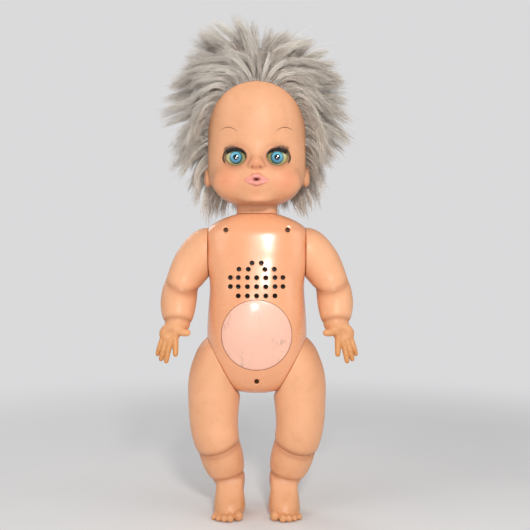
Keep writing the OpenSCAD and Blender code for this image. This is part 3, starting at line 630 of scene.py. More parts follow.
def add_features(clay):
    """Cheeks, ears, chin, muzzle, nose and mouth."""
    for side in (-1, 1):
        clay.add_blob((side * 25, -33.5, 325), (17, 13.5, 14), 8)
        clay.add_blob((side * 5, -48.8, 339.8), (3.6, 4.4, 3.3), 2.5)
        clay.add_blob((side * 49.2, 2, 336), (4.4, 8, 12), 2)
        clay.cut_blob((side * 53.5, -0.5, 338), (3.4, 4.2, 7.5), 2)
    clay.add_blob((0, -37.5, 311.5), (12, 9, 8), 8)
    clay.add_blob((0, -43.5, 327), (14.5, 6.8, 10.5), 6)
    clay.add_cone((0, -43.5, 357), (0, -49, 345), 3.6, 4.2, 6)
    clay.add_blob((0, -50.8, 342), (5.6, 5.4, 5.0), 4)
    for side in (-1, 1):
        clay.cut_blob((side * 3.9, -53.6, 337.2), (1.5, 1.7, 1.2), 0.8)
    clay.cut_blob((0, -53.5, 333.6), (1.3, 2.4, 3), 2)
    mouth = clay.part((-14, -58, 315), (14, -40, 336))
    mouth.add(lips(mouth), 0.9)
    clay.cut_blob((0, -53, 311), (9, 4.5, 2.6), 5)
    clay.cut_blob(MOUTH, (2.5, 7, 1.3), 0.7)
    clay.cut_blob((0, -53, 326.2), (7, 3.4, 0.5), 1)


def model_head():
    """The hollow head: outline, features, eye sockets, neck collar and eye openings."""
    clay = Clay((-56, -61, 287.2), (56, 62, 452), 0.8)
    loft = clay.loft(HEAD_ROWS, HEAD_POWER)
    clay.d[...] = loft
    add_features(clay)
    edge = eye_edge(clay.x, clay.z)
    front = np.clip((-26 - clay.y) / 8, 0, 1)
    socket = 2.6 * bump(np.hypot((np.abs(clay.x) - 20.5) / 12, (clay.z - 351) / 9.5), 1)
    above = np.clip((clay.z - EYE_Z - 1) / 4, 0, 1)
    rim = 1.1 * bump(edge - 0.7, 0.95) - above * 0.4 * bump(edge - 3.6, 1.3)
    rim = rim - (1 - above) * 0.3 * bump(edge - 3.4, 1.6)
    clay.d += front * (socket - rim)
    clay.d[...] = np.maximum(clay.d, 296.4 - clay.z)
    clay.cut(np.maximum(loft + 3.2, 310.5 - clay.z))
    radius = np.hypot(clay.x, clay.y)
    clay.add(np.maximum(radius - 16.9, np.abs(clay.z - 295) - 3.0))
    clay.add(np.maximum(radius - 19.2, np.abs(clay.z - 290.3) - 1.85))
    clay.cut(np.maximum(radius - 13, np.abs(clay.z - 300) - 17))
    for side in (-1, 1):
        eye = clay.part((side * EYE_X - 16, -61, EYE_Z - 16), (side * EYE_X + 16, -12, EYE_Z + 16))
        reach = np.hypot(np.hypot(eye.x - side * EYE_X, eye.y - EYE_Y), eye.z - EYE_Z)
        eye.cut(np.maximum(reach - POCKET_R, -39.7 - eye.y))
        eye.cut(reach - LID_R - 0.35)
        eye.cut(np.maximum(eye_edge(eye.x, eye.z), eye.y + 30), 0.5)
    return clay


def head_paint(points):
    """Skin colour with blush, eye lines and lips, and painted shade round the sockets, on the rims of the eye
    openings, in the mouth's parting, in the nostrils and in the neck fold.
    """
    space = Points(points)
    x, y, z = space.x, space.y, space.z
    colour = np.tile(SKIN, (len(points), 1))

    def brush(strength, rgb):
        strength = np.clip(strength, 0, 1)[:, None]
        colour[:] = colour * (1 - strength) + np.array(srgb(*rgb)) * strength

    front = np.clip((-20 - y) / 12, 0, 1)
    brush(0.5 * front * bump(np.hypot(np.abs(x) - 28, z - 327), 13), (213, 120, 84))
    brush(0.35 * front * bump(np.hypot(x, (z - 311) * 1.3), 10), (206, 128, 92))
    brush(0.4 * front * bump(np.hypot(x, z - 340), 7), (205, 118, 84))
    edge = eye_edge(x, z)
    # Painted shade: the skin round each eye opening darkened brown, as if the socket lay in shadow.
    brush(0.55 * front * bump(np.maximum(edge, 0), 4.2), (163, 97, 66))
    brush(front * 0.9 * bump(np.maximum(edge - 0.35, 0), 0.7) * (z > EYE_Z + 1.5), (44, 26, 22))
    # Painted shade: a dark ring on the very rim of each eye opening.
    brush(front * 0.5 * bump(np.maximum(edge - 0.1, 0), 0.7), (90, 52, 40))
    span = np.clip(1 - np.abs(x) / 11.6, 0, 1)
    upper = 326.0 + 6.0 * span**0.85 - 1.0 * bump(x, 1.4)
    lower = 325.4 - 5.3 * span**0.7
    inside = np.minimum(upper - z, z - lower)
    brush(front * np.clip(0.5 + inside / 0.7, 0, 1) * (span > 0), (232, 158, 146))
    brush(0.5 * front * bump(inside, 0.55) * (span > 0), (200, 106, 88))
    brush(0.4 * front * bump(z - 326, 0.5) * (span > 0.1), (186, 92, 84))
    # Painted shade: the mouth's parting darkened nearly black.
    brush(0.95 * front * bump(np.hypot(x / 2.0, z - 326.1), 1.3), (84, 38, 36))
    # Painted shade: the nostril hollows darkened brown.
    for side in (-1, 1):
        brush(0.75 * front * bump(np.hypot(x - side * 3.9, z - 337.4), 1.1), (122, 62, 44))
    # Painted shade: a brown band along the fold where the head meets the neck.
    brush(0.4 * bump(z - 304.5, 2.5), (150, 88, 60))
    return colour


def make_head():
    """Makes the head and gives the points of its surface."""
    points, quads = model_head().mesh()
    piece = build("head_looks", points, quads)
    paint(piece, head_paint(points))
    settle(piece, "head", HEAD_VINYL, ["head_shell"])
    return points


HEAD_VINYL = vinyl("head_vinyl", 0.48)
LIMB_VINYL = vinyl("limb_vinyl", 0.42)
head_points = make_head()

# ---- Arms and legs ----

# Each row is a place and a radius.
ARM = (
    (76.9, -21.8, 190, 11.0), (77, -19.5, 196, 13.6), (77.2, -14, 207, 16.2), (76.4, -8, 218, 16.3),
    (74, -4.5, 227, 15.6), (70, -2, 236, 17), (64, -0.5, 246.5, 18.8), (57, 0, 255, 19.9),
    (52, 0, 259.5, 20.4), (48.3, 0, 262, 20.5),
)
FINGERS = (
    ((78.8, -28.6, 176, 3.3), (78.0, -32.6, 168.5, 2.9), (77.6, -35.0, 160.5, 2.4)),
    ((83.2, -29.2, 173, 3.2), (85.0, -34.2, 163.5, 2.8), (86.4, -35.8, 154.2, 2.3)),
    ((87.4, -28.6, 173, 3.0), (89.8, -32.6, 164, 2.6), (91.6, -33.2, 155.8, 2.2)),
    ((90.8, -27.2, 175, 2.7), (93.6, -29.6, 167, 2.3), (95.6, -29.4, 160, 1.9)),
)
THUMB = (
    (79.5, -25.5, 186, 4.4), (74.6, -29.5, 182.8, 3.6), (70.2, -32, 181.2, 3.1), (65.9, -33.4, 180.9, 2.5),
)
LEG = (
    (27, 4.5, 26, 12.8), (27, 4, 33, 13.2), (31.5, 2, 44, 17.4), (34.8, 0, 55, 19.5), (37, -3, 63, 19.2),
    (39.5, -6, 72, 20.8), (42.3, -6, 85, 21.9), (43, -5, 100, 23.1), (42.7, -3.5, 113.5, 24),
    (41.8, -2, 126, 25.3), (38.9, -1, 137.6, 26.5), (33.86, 0, 147.36, 27.6), (31.5, 0, 151.5, 27.6),
)
# Height, half width, and depth in front and behind.
FOOT = (
    (0, 13.5, 20, 26), (3, 15, 22.5, 28), (8, 15.5, 22.5, 28.5), (15, 14.8, 19, 28), (22, 13.8, 13, 27),
    (30, 13, 7, 25.5), (36, 12.5, 4, 25),
)
# How far out each toe lies, its radius and where its tip is.
TOES = ((17.6, 4.7, -35.5), (25.2, 3.6, -39), (31.2, 3.3, -38), (36.6, 3.0, -35), (41.2, 2.7, -30.5))


def crease(space, point, normal, radius, depth, width, side=None):
    """A fold pressed into a limb round a point, deepest towards one side when a side is given."""
    normal = np.array(normal) / np.linalg.norm(normal)
    x, y, z = space.x - point[0], space.y - point[1], space.z - point[2]
    along = x * normal[0] + y * normal[1] + z * normal[2]
    away = np.sqrt(np.maximum(x * x + y * y + z * z - along * along, 0))
    dent = depth * (0.62 * bump(along, width * 3.2) + 0.38 * bump(along, width))
    press = dent * np.clip(1.5 - away / (radius * 1.4), 0, 1)
    if side is not None:
        facing = (x * side[0] + y * side[1] + z * side[2]) / (away + 1e-3)
        press = press * np.clip(0.45 + 0.75 * facing, 0, 1)
    return press


def arm_creases(space):
    return crease(space, (77, -22, 191), (0.04, -0.4, -1), 13, 1.7, 0.9) + crease(
        space, (74.5, -5, 226.5), (-0.3, -0.3, 1), 16, 2.6, 1.2, side=(-0.6, -1, 0)
    )


def leg_creases(space):
    return crease(space, (29, 3.2, 36.5), (0.22, -0.1, 1), 16, 1.9, 1.0) + crease(
        space, (38, -4, 67), (0.3, -0.3, 1), 20, 3.0, 1.3, side=(0.1, -1, 0)
    )


def nail(space, tip, root, r):
    """Height of a nail on the outer face of a finger or toe, before its end."""
    tip, root = np.array(tip, float), np.array(root, float)
    along = (tip - root) / np.linalg.norm(tip - root)
    out = np.array((0, -1, 0.0)) if abs(along[2]) > 0.5 else np.array((0, 0, 1.0))
    out = out - along * (out @ along)
    out /= np.linalg.norm(out)
    centre = tip + out * r + along * r * 0.15
    x, y, z = space.x - centre[0], space.y - centre[1], space.z - centre[2]
    across = np.cross(along, out)
    u = x * along[0] + y * along[1] + z * along[2]
    v = x * across[0] + y * across[1] + z * across[2]
    w = x * out[0] + y * out[1] + z * out[2]
    return np.clip(1.2 - np.hypot(u / (r * 0.75), v / (r * 0.62)), 0, 1) * (np.abs(w) < r)


def model_arm():
    """The left arm: chain of balls, palm, fingers, nails, creases, flat shoulder and its collar."""
    clay = Clay((38.5, -41, 148), (100, 25, 286), 0.6)
    clay.add_chain(ARM, 2.5)
    clay.add_chain(((76.9, -22, 191, 10.4), (79, -24.5, 186, 8.6), (82, -26.3, 181, 7.0)), 2)
    clay.add_blob((84.6, -27.0, 179.4), (9.6, 6.2, 9.6), 3, turn_y=12)
    for finger in FINGERS:
        clay.add_chain(finger, 0.8, 3)
    clay.add_chain(THUMB, 1.8, 3)
    clay.cut_blob((84, -35, 179.5), (5.5, 3.6, 5.5), 2.5)
    for finger in FINGERS + (THUMB,):
        clay.d -= 0.3 * nail(clay, finger[-1][:3], finger[-2][:3], finger[-1][3])
    clay.d += arm_creases(clay)
    clay.d[...] = np.maximum(clay.d, SHOULDER_X + GAP - clay.x)
    radius = np.hypot(clay.y, clay.z - SHOULDER_Z)
    clay.add(np.maximum(radius - 11.9, np.abs(clay.x - 46.5) - 4.0))
    clay.add(np.maximum(radius - 14.9, np.abs(clay.x - 42.4) - 1.75))
    return clay


def model_leg():
    """The left leg: chain of balls, knee, foot, toes, nails, creases, flat hip and its collar."""
    clay = Clay((6, -46, -1.8), (70, 31, 183), 0.7)
    clay.add_chain(LEG, 3)
    clay.add_blob((39.5, -14.5, 79), (15.5, 11.5, 12), 7)
    clay.add_blob((33.5, -6, 53), (15, 12.5, 11), 6)
    clay.add(clay.loft(FOOT, 2.3, 27, -8), 3)
    for x, r, tip in TOES:
        clay.add_cone((x * 0.85 + 4.2, -22, r + 1.6), (x, tip + r, r), r * 0.86, r, 0.8)
    clay.cut_blob((12, -9, -1), (6, 13, 5), 3)
    for x, r, tip in TOES:
        clay.d -= 0.3 * nail(clay, (x, tip + r, r), (x, -24, r), r * 0.9)
    clay.d += leg_creases(clay)
    clay.d[...] = np.maximum(clay.d, -clay.z)
    outward = (clay.x - HIP_X) * HIP_OUT[0] + (clay.z - HIP_Z) * HIP_OUT[2]
    clay.d[...] = np.maximum(clay.d, GAP - outward)
    x, z = clay.x - HIP_X, clay.z - HIP_Z
    across = np.hypot(clay.y, x * HIP_OUT[2] - z * HIP_OUT[0])
    clay.add(np.maximum(across - 12.85, np.abs(outward + 1.8) - 3.2))
    clay.add(np.maximum(across - 16.4, np.abs(outward + 5.0) - 1.6))
    return clay


def limb_paint(points, worn, creases):
    """Peach vinyl, yellowed and dirty towards the fingers or toes, and darkened in the folds as painted shade."""
    space = Points(points)
    # Painted shade: fold darkens the creases towards a deep brown.
    fold = np.clip(creases(space), 0, 1)[:, None] * 0.4
    tired = np.clip(worn, 0, 1)[:, None]
    colour = np.tile(LIMB, (len(points), 1))
    colour = colour * (1 - tired) + np.array(srgb(208, 146, 88)) * tired
    return colour * (1 - fold) + np.array(srgb(160, 92, 58)) * fold


def make_pair(name, clay, worn, creases):
    """A limb and its mirror image, dirtier where worn says so."""
    points, quads = clay.mesh()
    tints = limb_paint(points, worn(points), creases)
    for side, (at, faces) in (("left", (points, quads)), ("right", mirrored(points, quads))):
        piece = build(f"{name}_{side}_looks", at, faces)
        paint(piece, tints)
        settle(piece, f"{name}_{side}", LIMB_VINYL, [f"{name}_{side}"])


make_pair("arm", model_arm(), lambda p: (200 - p[:, 2]) / 30 * 0.85, arm_creases)
make_pair("leg", model_leg(), lambda p: (34 - p[:, 2]) / 30 * 0.5, leg_creases)

# ---- Torso shells, tummy disc and battery door ----

# Height, half width, and depth in front and behind.
TORSO_ROWS = (
    (120, 14, 12, 12), (124, 26, 22, 22), (135, 40, 30, 29), (150, 47, 36, 34), (165, 49, 39.5, 35.5),
    (180, 49.5, 42, 36), (200, 48.5, 41.5, 34), (220, 47, 39.5, 32.5), (235, 47.8, 37, 32),
    (250, 52, 34.5, 32), (262, 53, 33, 32),
    (276, 52, 31, 31), (283, 48, 28.5, 29), (289, 40, 25.5, 26), (293.5, 30, 22, 22), (296, 22.5, 19, 19),
)
TORSO_POWER = 2.5
TORSO_WALL = 2.6
SHOULDER_CUT_Z = 235
NECK_HOLE_R, SHOULDER_HOLE_R, HIP_HOLE_R = 17, 12, 13
BUTTON_Z = 179
BUTTON_R = 33.8
# The height of each row of sound holes, and how far out its holes lie on both sides.
SOUND_ROWS = (
    (248, (4.5,)), (242, (8, 17)), (234, (0, 8.8, 17.6, 25.2)), (225.4, (0, 8.8, 17.6, 25.2)),
    (216.6, (0, 8.8, 17.5)),
)
SOUND_HOLE_R, SCREW_HOLE_R = 2.3, 2.4
SCREWS = ((30, 280), (-30, 280), (0, 133.5))
DOOR_HALF_W, DOOR_LOW, DOOR_HIGH = 27, 177, 245


def torso_solid(name, inset):
    """Closed torso body, drawn in by inset, with its flat shoulders and sloping hips."""
    rows = smooth_rows(TORSO_ROWS, 5)
    rows[:, 1:] = np.maximum(rows[:, 1:] - inset, 2)
    sides = 160
    a = np.linspace(0, 2 * math.pi, sides, endpoint=False)
    c, s = np.cos(a), np.sin(a)
    cx = np.sign(c) * np.abs(c) ** (2 / TORSO_POWER)
    sy = np.sign(s) * np.abs(s) ** (2 / TORSO_POWER)
    half = SHOULDER_X - inset
    points = []
    for z, w, f, b in rows:
        z = min(max(z, 120 + inset), 296 - inset)
        x = w * cx
        if z >= SHOULDER_CUT_Z:
            x = np.clip(x, -half, half)
        points += list(zip(x, np.where(sy < 0, f, b) * sy, np.full(sides, z)))
    body = build(name, points, ring_faces(len(rows), sides) + end_faces(len(rows), sides))
    mesh = bmesh.new()
    mesh.from_mesh(body.data)
    for side in (1, -1):
        normal = Vector((side * HIP_OUT[0], 0, HIP_OUT[2]))
        at = Vector((side * HIP_X, 0, HIP_Z)) * MM - normal * inset * MM
        whole = mesh.verts[:] + mesh.edges[:] + mesh.faces[:]
        cut = bmesh.ops.bisect_plane(mesh, geom=whole, plane_co=at, plane_no=normal, clear_outer=True)
        rim = [e for e in cut["geom_cut"] if isinstance(e, bmesh.types.BMEdge)]
        bmesh.ops.edgeloop_fill(mesh, edges=rim)
    bmesh.ops.recalc_face_normals(mesh, faces=mesh.faces[:])
    mesh.to_mesh(body.data)
    mesh.free()
    return body


def rod_shape(points, faces, centre, axis, radius, start, end, sides=64):
    """Adds a closed cylinder to a cutter's points and faces."""
    first = len(points)
    axis = np.array(axis, float)
    u = np.cross(axis, (0, 0, 1.0) if abs(axis[2]) < 0.9 else (1.0, 0, 0))
    u /= np.linalg.norm(u)
    v = np.cross(axis, u)
    for at in (start, end):
        for k in range(sides):
            t = 2 * math.pi * k / sides
            points.append(np.array(centre) + axis * at + radius * (math.cos(t) * u + math.sin(t) * v))
    faces += ring_faces(2, sides, first) + end_faces(2, sides, first)


def box_shape(points, faces, low, high):
    """Adds a closed box."""
    first = len(points)
    points += [(x, y, z) for z in (low[2], high[2]) for y in (low[1], high[1]) for x in (low[0], high[0])]
    for face in ((0, 2, 3, 1), (4, 5, 7, 6), (0, 1, 5, 4), (2, 6, 7, 3), (0, 4, 6, 2), (1, 3, 7, 5)):
        faces.append(tuple(first + i for i in face))


def hole_shape(points, faces, x, z, radius, lip, end):
    """Adds a hole through the torso's front whose outer edge is broken by a small cone."""
    first, sides = len(points), 32
    skin = -torso_depth(x, z)
    rings = ((skin - 1.6, radius + lip + 1.6), (skin + lip, radius), (end, radius))
    for y, r in rings:
        points += circle(x, y, z, r, sides)
    faces += ring_faces(len(rings), sides, first) + end_faces(len(rings), sides, first)


def boolean(piece, operation, other):
    modifier = piece.modifiers.new("carve", "BOOLEAN")
    modifier.operation = operation
    modifier.solver = "EXACT"
    modifier.object = other
    apply_modifiers(piece)


def carve(piece, operation, shapes):
    """Cuts shapes out of a piece, or keeps only what lies inside them.

    Each shape is one of the functions above with the values that it takes.
    """
    points, faces = [], []
    for shape, *values in shapes:
        shape(points, faces, *values)
    cutter = build("cutter", points, faces)
    mesh = bmesh.new()
    mesh.from_mesh(cutter.data)
    bmesh.ops.recalc_face_normals(mesh, faces=mesh.faces[:])
    mesh.to_mesh(cutter.data)
    mesh.free()
    boolean(piece, operation, cutter)
    bpy.data.objects.remove(cutter)


def joint_holes():
    """The openings for the collars of the neck, arms and legs."""
    shapes = [(rod_shape, (0, 0, 300), (0, 0, 1), NECK_HOLE_R, -20, 10, 96)]
    for side in (1, -1):
        out = (side * HIP_OUT[0], 0, HIP_OUT[2])
        shapes.append((rod_shape, (side * SHOULDER_X, 0, SHOULDER_Z), (side, 0, 0), SHOULDER_HOLE_R, -12, 9))
        shapes.append((rod_shape, (side * HIP_X, 0, HIP_Z), out, HIP_HOLE_R, -12, 9))
    return shapes


def front_holes():
    """The sound holes, the screw holes and the opening for the tummy disc."""
    shapes = []
    for z, spots in SOUND_ROWS:
        for x in sorted({-v for v in spots} | set(spots)):
            shapes.append((hole_shape, x, z, SOUND_HOLE_R, 0.35, -25))
    for x, z in SCREWS:
        shapes.append((hole_shape, x, z, SCREW_HOLE_R, 0.4, -12))
    shapes.append((rod_shape, (0, 0, BUTTON_Z), (0, 1, 0), BUTTON_R + 0.3, -60, -24, 144))
    return shapes


def back_holes():
    """The battery door's opening and the switch knob's slot."""
    return [
        (box_shape, (-DOOR_HALF_W, 20, DOOR_LOW), (DOOR_HALF_W, 60, DOOR_HIGH)),
        (box_shape, (-5.2, 24, 162.3), (5.2, 60, 167.7)),
    ]


def make_torso():
    """The two shells: half of the body each, hollowed, with their openings."""
    inner = torso_solid("inner", TORSO_WALL)
    front = torso_solid("torso_front_looks", 0)
    back = torso_solid("torso_back_looks", 0)
    carve(front, "INTERSECT", [(box_shape, (-80, -80, 100), (80, -0.08, 320))])
    carve(back, "INTERSECT", [(box_shape, (-80, 0.08, 100), (80, 80, 320))])
    boolean(front, "DIFFERENCE", inner)
    boolean(back, "DIFFERENCE", inner)
    bpy.data.objects.remove(inner)
    carve(front, "DIFFERENCE", joint_holes() + front_holes())
    posts = screw_posts()
    with bpy.context.temp_override(active_object=front, selected_editable_objects=[front, posts]):
        bpy.ops.object.join()
    carve(back, "DIFFERENCE", joint_holes() + back_holes())
    for shell, node in ((front, "torso_front"), (back, "torso_back")):
        shell.data.set_sharp_from_angle(angle=math.radians(28))
        settle(shell, "torso", BODY_PLASTIC, [node])


def screw_posts():
    """The tubes behind the three screw holes, with a ledge for each screw's head."""
    sides = 40
    points, faces = [], []
    for x, z in SCREWS:
        skin = -torso_depth(x, z)
        first = len(points)
        ring = ((4.4, skin + 1.7), (4.4, -0.2), (1.6, -0.2), (1.6, -11.9), (2.38, -11.9), (2.38, skin + 1.3))
        for r, y in ring:
            points += circle(x, y, z, r, sides)
        faces += [face[::-1] for face in ring_faces(len(ring), sides, first, closed=True)]
    return build("posts", points, faces)


def torso_depth(x, z):
    """How far the torso's front stands from the body axis."""
    rows = smooth_rows(TORSO_ROWS, 5)
    w = np.interp(z, rows[:, 0], rows[:, 1])
    deep = np.interp(z, rows[:, 0], rows[:, 2])
    return deep * np.maximum(1 - np.abs(x / w) ** TORSO_POWER, 0) ** (1 / TORSO_POWER)


def make_disc():
    """The tummy disc: the torso's own curve in a rounded rim, with its skirt and stem behind."""
    sides = 144
    turn_in = np.radians((20, 40, 60, 80, 90))
    front = [(0.02, 0)] + [(r, 0) for r in np.linspace(3, BUTTON_R - 1.0, 12)]
    front += [(BUTTON_R - 1.0 + 1.0 * math.sin(a), 1.0 - math.cos(a)) for a in turn_in]
    behind = [(BUTTON_R, 3.4), (BUTTON_R - 2.4, 3.4), (BUTTON_R - 3.4, 2.7)]
    behind += [(11, 2.7), (9.5, 2.4), (0.02, 2.4)]
    points = []
    for r, drop in front + behind:
        for k in range(sides):
            a = 2 * math.pi * k / sides
            x, z = r * math.cos(a), BUTTON_Z + r * math.sin(a)
            y = torso_depth(x, z) + 0.35
            points.append((x, -(y - drop), z))
    faces = ring_faces(len(front + behind), sides)
    _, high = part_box("tummy_button")
    rod_shape(points, faces, (0, 0, BUTTON_Z), (0, 1, 0), 3.9, -39.8, high.y / MM - AXIS_Y, 48)
    disc = build("tummy_disc", points, faces)
    disc.data.set_sharp_from_angle(angle=math.radians(40))
    settle(disc, "button", DISC_PLASTIC, ["tummy_button"])


BODY_PLASTIC = hard_plastic("body_plastic", srgb(234, 168, 126), srgb(227, 158, 114), 0.24)
DISC_PLASTIC = hard_plastic(
    "disc_plastic", srgb(240, 190, 168), srgb(236, 180, 157), 0.32, scuffs=srgb(190, 152, 134)
)
make_torso()
make_disc()

# ---- Eyes ----

EYEBALL_R, IRIS_R = 11.8, 6.25


def polar_cap(radius, reach, rings, sides):
    """Rings of a ball round its front pole, out to an angle in degrees.

    Gives the points, the faces, and each point's angle from the pole and turn round it.
    """
    lean = np.radians(np.linspace(0.4, reach, rings))
    turn = np.linspace(0, 2 * math.pi, sides, endpoint=False)
    lean, turn = (g.ravel() for g in np.meshgrid(lean, turn, indexing="ij"))
    points = radius * np.stack([np.sin(lean) * np.cos(turn), -np.cos(lean), np.sin(lean) * np.sin(turn)], 1)
    return points, np.array(ring_faces(rings, sides)), lean, turn


def iris_paint(lean, turn, seed):
    """Blue iris: dark rim, pale streaks that run to the middle, brighter above as partly a painted gradient and
    partly a painted reflection, black pupil.
    """
    picks = np.random.default_rng(seed)
    r = EYEBALL_R * np.sin(lean) / IRIS_R
    waves = (17, 29, 41, 53)
    streak = sum(np.sin(turn * n + picks.uniform(0, 6.3)) * picks.uniform(0.5, 1) for n in waves) / 3
    # The sin(turn) term makes the top brighter: partly the iris's own painted gradient, partly a painted
    # reflection of light from above.
    light = np.clip(0.28 + 0.32 * streak + 0.26 * np.sin(turn) + 0.4 * bump(r - 0.6, 0.13), 0, 1)[:, None]
    colour = np.array(srgb(24, 80, 124)) * (1 - light) + np.array(srgb(112, 196, 218)) * light
    ring = bump(np.minimum(1 - r, 0.5), 0.11)[:, None] * 0.9
    colour = colour * (1 - ring) + np.array(srgb(16, 34, 44)) * ring
    green = bump(r - 0.86, 0.1)[:, None] * 0.35
    colour = colour * (1 - green) + np.array(srgb(86, 130, 74)) * green
    pupil = np.clip((0.44 - r) / 0.05, 0, 1)[:, None]
    return colour * (1 - pupil) + np.array(srgb(6, 7, 9)) * pupil


def lash_strands(side, seed):
    """Bristles fanned along the lid's front edge, longer and wider spread towards the outer corner."""
    picks = np.random.default_rng(seed)
    paths = []
    for t in np.linspace(-1, 1, 84):
        t += picks.normal(0, 0.012)
        outer = t * side
        x = t * 8.0
        rise = math.radians(28 + picks.normal(0, 1.2) - 5 * t * t)
        ring = math.sqrt(LID_R**2 - x * x)
        root = np.array((x, -ring * math.cos(rise), ring * math.sin(rise)))
        length = 4.6 + 1.5 * outer + picks.normal(0, 0.5)
        away = np.array((t * 0.75 + 0.22 * side * max(outer, 0), -1.0, 0.7 + picks.normal(0, 0.1)))
        away /= np.linalg.norm(away)
        bend = root + away * length * 0.5
        tip = root + away * length * 0.82 + np.array((t * 0.6, 0.3, 0.55 * length))
        paths.append((root, bend, tip))
    p0, p1, p2 = (np.array(v) for v in zip(*paths))
    s = np.linspace(0, 1, 6)[None, :, None]
    line = (1 - s) ** 2 * p0[:, None] + 2 * s * (1 - s) * p1[:, None] + s**2 * p2[:, None]
    return line + (side * EYE_X, EYE_Y, EYE_Z)


def tubes(name, lines, radii, colours):
    """Three-sided hairs: lines are (hair, step, xyz), radii (hair, step), colours (hair, step, rgb)."""
    count, steps, _ = lines.shape
    chord = lines[:, -1] - lines[:, 0]
    chord /= np.linalg.norm(chord, axis=1)[:, None] + 1e-9
    u = np.cross(chord, (0.31, 0.52, 0.8))
    u /= np.linalg.norm(u, axis=1)[:, None] + 1e-9
    v = np.cross(chord, u)
    turns = 2 * math.pi * np.arange(3) / 3
    ring = np.cos(turns)[None, :, None] * u[:, None] + np.sin(turns)[None, :, None] * v[:, None]
    points = lines[:, :, None] + ring[:, None] * radii[:, :, None, None]
    h = (np.arange(count) * steps * 3)[:, None, None]
    i = (np.arange(steps - 1) * 3)[None, :, None]
    k = np.arange(3)[None, None, :]
    a, b = h + i + k, h + i + (k + 1) % 3
    quads = np.stack([a, b, b + 3, a + 3], -1).reshape(-1, 4)
    piece = build(name, points.reshape(-1, 3), quads)
    paint(piece, np.repeat(colours.reshape(-1, 3), 3, axis=0))
    return piece


def make_eyes():
    """Eyeballs, irises and lashes. The lids, cups, pins and weights stay the CAD's own."""
    white = Material("eye_white", Roughness=0.12, Coat_Weight=0.9, Coat_Roughness=0.04)
    white.colour(white.ramp(white.noise(180, 3), (0.3, srgb(172, 166, 104)), (0.7, srgb(196, 190, 138))))
    white.bumps((white.noise(60, 2), 0.05, 0.1))
    blue = Material("eye_iris", Roughness=0.1, Coat_Weight=1.0, Coat_Roughness=0.03)
    tint = blue.tint()
    fleck = blue.ramp(blue.noise(900, 3), (0.3, (0.8,) * 3), (0.7, (1.1,) * 3))
    blue.colour(blue.mix(0.5, tint, fleck, "MULTIPLY"))
    blue.bumps((blue.noise(500, 2), 0.05, 0.05))
    black = fibre("lash_fibre", 0.45, 0.1)
    for side, name in ((1, "left"), (-1, "right")):
        centre = (side * EYE_X, EYE_Y, EYE_Z)
        points, faces, _, _ = polar_cap(EYEBALL_R, 179.6, 72, 96)
        ball = build(f"eyeball_{name}_looks", points + centre, faces)
        settle(ball, f"eye_{name}", white.material, [f"eyeball_{name}"])
        edge = math.degrees(math.asin(IRIS_R / EYEBALL_R))
        points, faces, lean, turn = polar_cap(EYEBALL_R + 0.12, edge, 40, 180)
        iris = build(f"iris_{name}_looks", points + centre, faces)
        paint(iris, iris_paint(lean, turn, 5 + side))
        settle(iris, f"eye_{name}", blue.material, [f"iris_{name}"])
        lines = lash_strands(side, 11 + side)
        radii = np.tile(np.linspace(0.3, 0.07, lines.shape[1]), (len(lines), 1))
        lash = tubes(f"lashes_{name}_looks", lines, radii, np.full(lines.shape, srgb(24, 18, 18)[0]))
        settle(lash, f"eye_{name}", black, [f"lashes_{name}"])


make_eyes()

# ---- Hair ----

# From front to back: the depth, the height of the middle there and the share of the outline reached.
HAIR_RINGS = np.array((
    (-38, 437, 0.16), (-33, 431, 0.4), (-22, 420, 0.68), (-8, 410, 0.88), (12, 404, 0.99), (34, 402, 1),
    (56, 400, 0.9), (74, 397, 0.68), (86, 394, 0.4), (92, 392, 0.12),
))
# How far the hair reaches from its middle, every 15 degrees from the doll's left over the top.
HAIR_OUTLINE = (
    99, 94, 108, 96, 92, 80, 86, 106, 108, 98, 90, 101, 102.4,
    92, 104, 95, 92, 84, 78, 84, 92, 98, 92, 106, 99,
)
FACE_HALF_W, FACE_TOP, FACE_DEPTH = 47.5, 419.5, -4
ARCH_Z = FACE_TOP - FACE_HALF_W
STRAND_STEPS = 8
GUIDES, STRANDS, TOP_STRANDS, REAR_STRANDS, PLUG_STRANDS, PLUG_STUBS = 230, 15500, 2600, 3200, 26, 6
STRAND_PIECES = 5


def hair_share(x, y, z):
    """How far out a place is in the hair: one on its outline."""
    rise = z - np.interp(y, HAIR_RINGS[:, 0], HAIR_RINGS[:, 1])
    turn = np.degrees(np.arctan2(rise, x)) % 360
    reach = np.interp(turn, np.arange(0, 361, 15), HAIR_OUTLINE)
    reach = reach * np.interp(y, HAIR_RINGS[:, 0], HAIR_RINGS[:, 2])
    outside = np.maximum(np.maximum(HAIR_RINGS[0, 0] - y, y - HAIR_RINGS[-1, 0]), 0) / 5
    return np.hypot(x, rise) / reach + outside


def in_face(x, y, z):
    """Whether a place lies in the arched window that the face looks out of."""
    arch = np.hypot(x, np.maximum(z - ARCH_Z, 0)) < FACE_HALF_W
    return arch & (y < FACE_DEPTH)


def scalp_places(points):
    """The head's outer points that carry hair."""
    x, y, z = points.T
    rows = smooth_rows(HEAD_ROWS, 6)
    w, f, b = (np.interp(z, rows[:, 0], rows[:, i]) for i in (1, 2, 3))
    deep = np.where(y < 0, f, b)
    level = (np.abs(x / w) ** HEAD_POWER + np.abs(y / deep) ** HEAD_POWER) ** (1 / HEAD_POWER)
    ear = np.hypot((y - 2) / 10, (z - 338) / 15) < 1
    low = 326 + np.clip(20 - y, 0, 40) * 0.55
    keep = (level > 0.975) & (z > low) & ~in_face(x, y, z) & ~(ear & (np.abs(x) > 40))
    return points[keep]


def outward(at):
    """Unit vectors out of the middle of the head."""
    away = (at - (0, 3, 385)) * (1, 0.9, 0.8)
    return away / np.linalg.norm(away, axis=1)[:, None]


